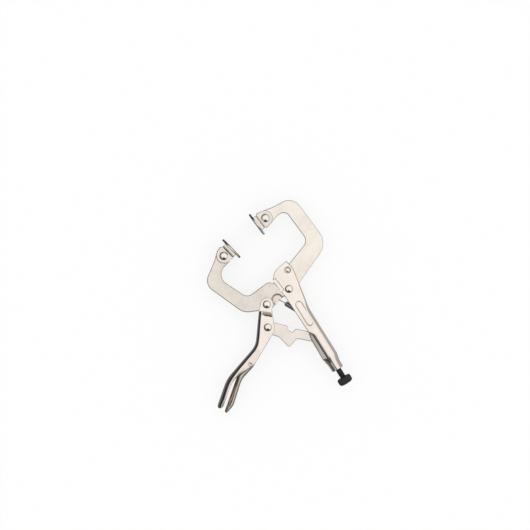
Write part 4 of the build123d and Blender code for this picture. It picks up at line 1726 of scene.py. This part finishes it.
@dataclass
class AdjustingScrew:
    """Threaded screw and its knurled knob."""

    radius: float = 4.4
    depth: float = 0.75
    pitch: float = 2.0
    tip: float = 113.8
    end: float = 153.85
    knob_start: float = 146.0
    knob_length: float = 10.6
    knob_radius: float = 10.25
    knob_round: float = 4.2
    flutes: int = 30
    flute_depth: float = 0.5

    def thread(self) -> Surface:
        """Screw whose radius falls from crest to root with the turn: a rounded triangular thread.

        Returns:
            Its surface.
        """
        along = np.arange(self.tip, self.end + 0.01, self.pitch / 16)
        angle = np.linspace(0, 2 * math.pi, 48, endpoint=False)
        phase = (along[:, None] / self.pitch - angle[None] / (2 * math.pi)) % 1
        wave = ease(np.clip(1.35 * np.abs(2 * phase - 1) - 0.12, 0, 1))
        radius = self.radius - self.depth * wave
        taper = np.minimum(1.0, (along - self.tip) / 1.2 + 0.72)[:, None]
        radius = radius * taper
        points = np.stack([
            np.broadcast_to(along[:, None], radius.shape),
            SCREW_HEIGHT + radius * np.cos(angle), radius * np.sin(angle),
        ], -1)
        surface = Surface()
        surface.grid(points, wrap_columns=True, edge=1 - wave)
        surface.polygon(points[0])
        surface.polygon(points[-1][::-1])
        return surface

    def knob(self) -> Surface:
        """Knob whose side is cut by flutes: the radius dips at each with a rounded cosine.

        Returns:
            Its surface.
        """
        start, edge = self.knob_start, self.knob_round
        profile = np.concatenate([
            [(0.0, self.radius + 0.08), (0.0, 7.0)],
            arc((edge * 0.6, self.knob_radius - edge * 0.6), edge * 0.6, 180, 90, 8),
            arc((self.knob_length - edge, self.knob_radius - edge), edge, 90, 0, 10),
            [(self.knob_length, 6.4), (self.knob_length - 0.35, 5.9), (self.knob_length - 0.35, 0.0)],
        ])
        profile = guarded(profile, 0.25)
        angle = np.linspace(0, 2 * math.pi, self.flutes * 10, endpoint=False)
        dip = np.clip(0.5 + 0.5 * np.cos(angle * self.flutes), 0, 1) ** 2
        side = ease((profile[:, 1] - self.knob_radius + 1.3) / 1.3)
        radius = profile[:, 1][:, None] - self.flute_depth * side[:, None] * dip[None]
        points = np.stack([
            np.broadcast_to(start + profile[:, :1], radius.shape),
            SCREW_HEIGHT + radius * np.cos(angle), radius * np.sin(angle),
        ], -1)
        surface = Surface()
        surface.grid(points, wrap_columns=True, edge=(1 - dip[None]) * side[:, None])
        return surface

    def build(self, bench: Bench) -> None:
        """Put the screw and its knob on the bench."""
        bench.put(self.thread(), "adjusting_screw_thread", Finish.BLACK, "screw", "adjusting_screw")
        bench.put(self.knob(), "screw_knob_knurled", Finish.BLACK, "knob", "screw_knob")


@dataclass
class ReturnSpring:
    """Close coil between two hooked ends, from the moving jaw to the pin in the fixed handle."""

    wire: float = 0.6
    radius: float = 3.15
    pitch: float = 1.5
    eye: float = 2.4
    lead: float = 5.0
    still: float = 20.0
    steps: int = 28

    def surface(self, jaw: np.ndarray, anchor: np.ndarray) -> Surface:
        """Coil and both hooks, each a round wire along its own path.

        The coil's radius eases up from the hooks at both of its ends. The jaw's hook stands
        upright through its hole, and the other lies round its pin.

        Args:
            jaw: Place of the hole in the jaw.
            anchor: Place of the pin.

        Returns:
            Their surface.
        """
        axis = unit(anchor - jaw)
        up = np.array([0.0, 0.0, 1.0])
        side = np.cross(up, axis)
        coil_start = jaw + axis * (2 * self.eye + self.lead)
        coil_end = anchor - axis * (self.eye + self.lead)
        length = float(np.linalg.norm(coil_end - coil_start))
        turns = length / self.pitch
        share = np.linspace(0, 1, int(turns * self.steps))
        radius = self.radius * ease(np.minimum(share, 1 - share) * turns / 1.6 + 0.12)
        angle = share * turns * 2 * math.pi
        coil = coil_start + (share * length)[:, None] * axis
        coil = coil + radius[:, None] * (np.cos(angle)[:, None] * up + np.sin(angle)[:, None] * side)
        surface = Surface()
        surface.grid(tube(coil, axis, self.wire), wrap_columns=True)
        hook = arc((self.eye, 0.0), self.eye, -15, -345, 30)[:, :, None]
        hook_jaw = jaw + hook[:, 0] * axis + hook[:, 1] * up
        entry = np.linspace(jaw + axis * 2 * self.eye, coil[0], 8)
        surface.grid(tube(np.concatenate([hook_jaw, entry[1:]]), side, self.wire), wrap_columns=True)
        ring = arc((0.0, 0.0), self.eye, 195, 525, 30)[:, :, None]
        hook_pin = anchor + ring[:, 0] * axis + ring[:, 1] * side
        leave = np.linspace(coil[-1], anchor - axis * self.eye, 8)
        surface.grid(tube(np.concatenate([leave[:-1], hook_pin]), up, self.wire), wrap_columns=True)
        return surface

    def build(self, bench: Bench) -> None:
        """Put the spring on the bench and bake its place into its mesh.

        Args:
            bench: Where it goes.
        """
        jaw, anchor = np.array([*SPRING_HOLE, 0.0]), np.array([*SPRING_ANCHOR, 0.0])
        axis = unit(anchor - jaw)
        surface = self.surface(jaw, anchor)
        made = bench.put(surface, "return_spring_wire", Finish.SPRING, None, "return_spring")
        bench.row(anchor - self.still * axis)
        bench.row(jaw)
        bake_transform(made)


@dataclass
class Surround:
    """What only reflections see: a darker room below the overhead light, and the table in it.

    The room is a ball's lower part. Its grey eases from the side's own level at the horizon to
    white overhead, with a dark wedge towards the front and a soft round shade beside it. The
    table's grey is painted shade of the floor round the tool, and darker towards the front too.
    """

    reach: float = 1.6
    top: float = 84.0
    dark_horizon: Pair = (26.0, 62.0)
    light_horizon: Pair = (18.0, 54.0)
    dark_side: float = -145.0
    side_greys: Pair = (0.02, 0.36)
    front: float = -31.0
    wedge: Pair = (12.0, 34.0)
    shade: tuple[float, float, float] = (-88.0, 36.0, 19.0)
    # Painted shade: greys of the table, the floor in the tool's shadow as reflections see it.
    floor_shade_greys: Pair = (0.10, 0.46)

    def towards_side(self, turn: np.ndarray, values: Pair) -> np.ndarray:
        """Ease from the dark side's value to the other side's, by azimuth."""
        facing = 0.5 + 0.5 * np.cos(np.radians(turn - self.dark_side))
        return values[1] + (values[0] - values[1]) * ease(facing * 1.5 - 0.4)

    def from_front(self, turn: np.ndarray) -> np.ndarray:
        """Angle in degrees between azimuths and the front."""
        return np.abs((turn - self.front + 180) % 360 - 180)

    def table(self, turn: np.ndarray) -> np.ndarray:
        """Grey of the table by azimuth, painted shade of the floor as reflections see it: also darker
        towards the front.
        """
        near = ease((60 - self.from_front(turn)) / 30)
        return self.towards_side(turn, self.floor_shade_greys) * (1 - 0.5 * near)

    def grey(self, turn: np.ndarray, level: np.ndarray) -> np.ndarray:
        """Grey of the room.

        Args:
            turn: Azimuths in degrees.
            level: Elevations in degrees, on the same grid.

        Returns:
            One grey for each direction.
        """
        side = self.towards_side(turn, self.side_greys)
        low, high = (self.towards_side(turn, ends) for ends in zip(self.dark_horizon, self.light_horizon))
        room = side + (1 - side) * ease((level - low) / (high - low))
        half = self.wedge[0] + self.wedge[1] * np.clip((80 - level) / 50, 0, 1)
        wedge = ease((half - self.from_front(turn)) / 16 + 0.5)
        wedge = wedge * ease((self.top - level) / 14) * ease((level - 18) / 14)
        middle, height, size = self.shade
        across = ((turn - middle + 180) % 360 - 180) * np.cos(np.radians(level))
        lobe = np.exp(-(across**2 + (level - height) ** 2) / size**2)
        return room * (1 - 0.95 * wedge) * (1 - 0.85 * lobe)

    def mesh(self, centre: np.ndarray) -> bpy.types.Mesh:
        """Mesh of the room and of the table in it, with their greys as an attribute.

        Args:
            centre: Place of the ball's centre, on the table.

        Returns:
            The mesh.
        """
        turns, levels = np.linspace(-180, 180, 121)[:-1], np.linspace(0, self.top, 45)
        turn, level = np.meshgrid(turns, levels, indexing="ij")
        ring = towards(turn.T)
        rise = np.radians(level.T)[..., None]
        room = np.concatenate([ring * np.cos(rise), np.sin(rise)], -1) * self.reach
        shares = np.linspace(0, 1, 4)[:, None, None]
        table = np.concatenate([ring[:1] * shares, 0 * shares * ring[:1, :, :1]], -1) * self.reach
        table[0, :, :2] = ring[0] * 1e-4
        points = np.concatenate([table, room]) + centre
        grey = np.concatenate([np.repeat(self.table(turn.T[:1]), 4, axis=0), self.grey(turn.T, level.T)])
        index = np.arange(grey.size).reshape(grey.shape)
        index = np.concatenate([index, index[:, :1]], 1)
        mesh = bpy.data.meshes.new("surround")
        mesh.from_pydata(points.reshape(-1, 3).tolist(), [], quads(index).tolist())
        mesh.attributes.new("grey", "FLOAT", "POINT").data.foreach_set("value", grey.ravel())
        return mesh

    def glow(self) -> bpy.types.Material:
        """Material that shines with the mesh's greys.

        Returns:
            The material.
        """
        material = bpy.data.materials.new("surround")
        material.use_nodes = True
        graph = Graph(material.node_tree)
        shine = graph.node("ShaderNodeEmission", None, {"Strength": graph.attribute("grey", "Fac")})
        graph.node("ShaderNodeOutputMaterial", None, {"Surface": shine})
        return material

    def build(self, centre: np.ndarray) -> None:
        """Set it round the tool, seen by reflections alone.

        Args:
            centre: Place of the ball's centre, on the table.
        """
        mesh = self.mesh(centre)
        mesh.materials.append(self.glow())
        made = bpy.data.objects.new("surround", mesh)
        bpy.context.scene.collection.objects.link(made)
        made.visible_camera = made.visible_diffuse = made.visible_shadow = False
        made.visible_transmission = made.visible_volume_scatter = False
        made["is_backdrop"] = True


@dataclass
class Studio:
    """White sweep, even white light, the reflected room and the camera above the tool."""

    centre: Pair = (0.05473, -0.01905)
    turn: float = 58.0
    distance: float = 2.5
    lens: float = 120.1
    light: float = 1.0
    plain: float = 0.8
    side: float = 3.0
    surround: Surround = field(default_factory=Surround)

    def world(self) -> None:
        """Light evenly from a white sky; rays from the camera and from reflections meet plain white."""
        made = bpy.data.worlds.new("studio")
        made.use_nodes = True
        bpy.context.scene.world = made
        graph = Graph(made.node_tree)
        strength = graph.seen() * (1.0 - self.light) + self.light
        glow = graph.node("ShaderNodeBackground", None, {"Color": (1, 1, 1, 1), "Strength": strength})
        graph.node("ShaderNodeOutputWorld", None, {"Surface": glow})

    def floor(self, height: float) -> None:
        """Lay the pale floor.

        Args:
            height: Height to lay it at, in metres.
        """
        mesh = bpy.data.meshes.new("floor")
        corners = [(x * self.side, y * self.side, height) for x, y in ((-1, -1), (1, -1), (1, 1), (-1, 1))]
        mesh.from_pydata(corners, [], [(0, 1, 2, 3)])
        made = bpy.data.objects.new("floor", mesh)
        bpy.context.scene.collection.objects.link(made)
        material = bpy.data.materials.new("floor")
        material.use_nodes = True
        graph = Graph(material.node_tree)
        paper = graph.node("ShaderNodeBsdfDiffuse", None, {"Color": (0.98, 0.98, 0.98, 1)})
        plain = graph.node("ShaderNodeEmission", None, {"Strength": 1.0})
        share = graph.seen() * self.plain
        mixed = graph.node("ShaderNodeMixShader", None, {0: share, 1: paper, 2: plain})
        graph.node("ShaderNodeOutputMaterial", None, {"Surface": mixed})
        mesh.materials.append(material)
        made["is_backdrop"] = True

    def camera(self) -> None:
        """Hang the camera straight above the tool, turned about the upright."""
        data = bpy.data.cameras.new("camera")
        data.lens = self.lens
        made = bpy.data.objects.new("camera", data)
        made.location = (*self.centre, self.distance)
        made.rotation_euler = (0, 0, math.radians(self.turn))
        bpy.context.scene.collection.objects.link(made)
        bpy.context.scene.camera = made

    def build(self, lowest: float) -> None:
        """Set everything up round the tool.

        Args:
            lowest: Height of the tool's lowest point, in metres.
        """
        self.world()
        self.floor(lowest - 0.0002)
        self.surround.build(np.array([*self.centre, lowest - 0.0001]))
        self.camera()
        bpy.context.scene.view_settings.view_transform = "Standard"


def main() -> None:
    """Build every sub-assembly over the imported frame, then the studio."""
    logging.basicConfig(level=logging.INFO, format="%(name)s %(message)s")
    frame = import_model()
    lows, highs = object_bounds()
    packed = [list(lows), list(highs)]
    swing = next(joint for joint in frame["joints"] if joint["name"] == "jaw_swing")
    finishes = {finish: metal.material(finish.value) for finish, metal in FINISHES.items()}
    bench = Bench(np.array(swing["pos_m"][:2]), finishes)
    for assembly in (
        JawPlates(), FixedHandle(), MovingHandle(), ReleaseLever(), ToggleLink(),
        Rivets(), SwivelPads(), AdjustingScrew(), ReturnSpring(),
    ):
        assembly.build(bench)
    for name in ("fixed_pad_stud", "moving_pad_stud"):
        node = frame["nodes"][name]
        node.material_slots[0].link = "OBJECT"
        node.material_slots[0].material = finishes[Finish.PAD]
    Studio().build(packed[0][2])
    lows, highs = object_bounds()


if __name__ == "__main__":
    main()
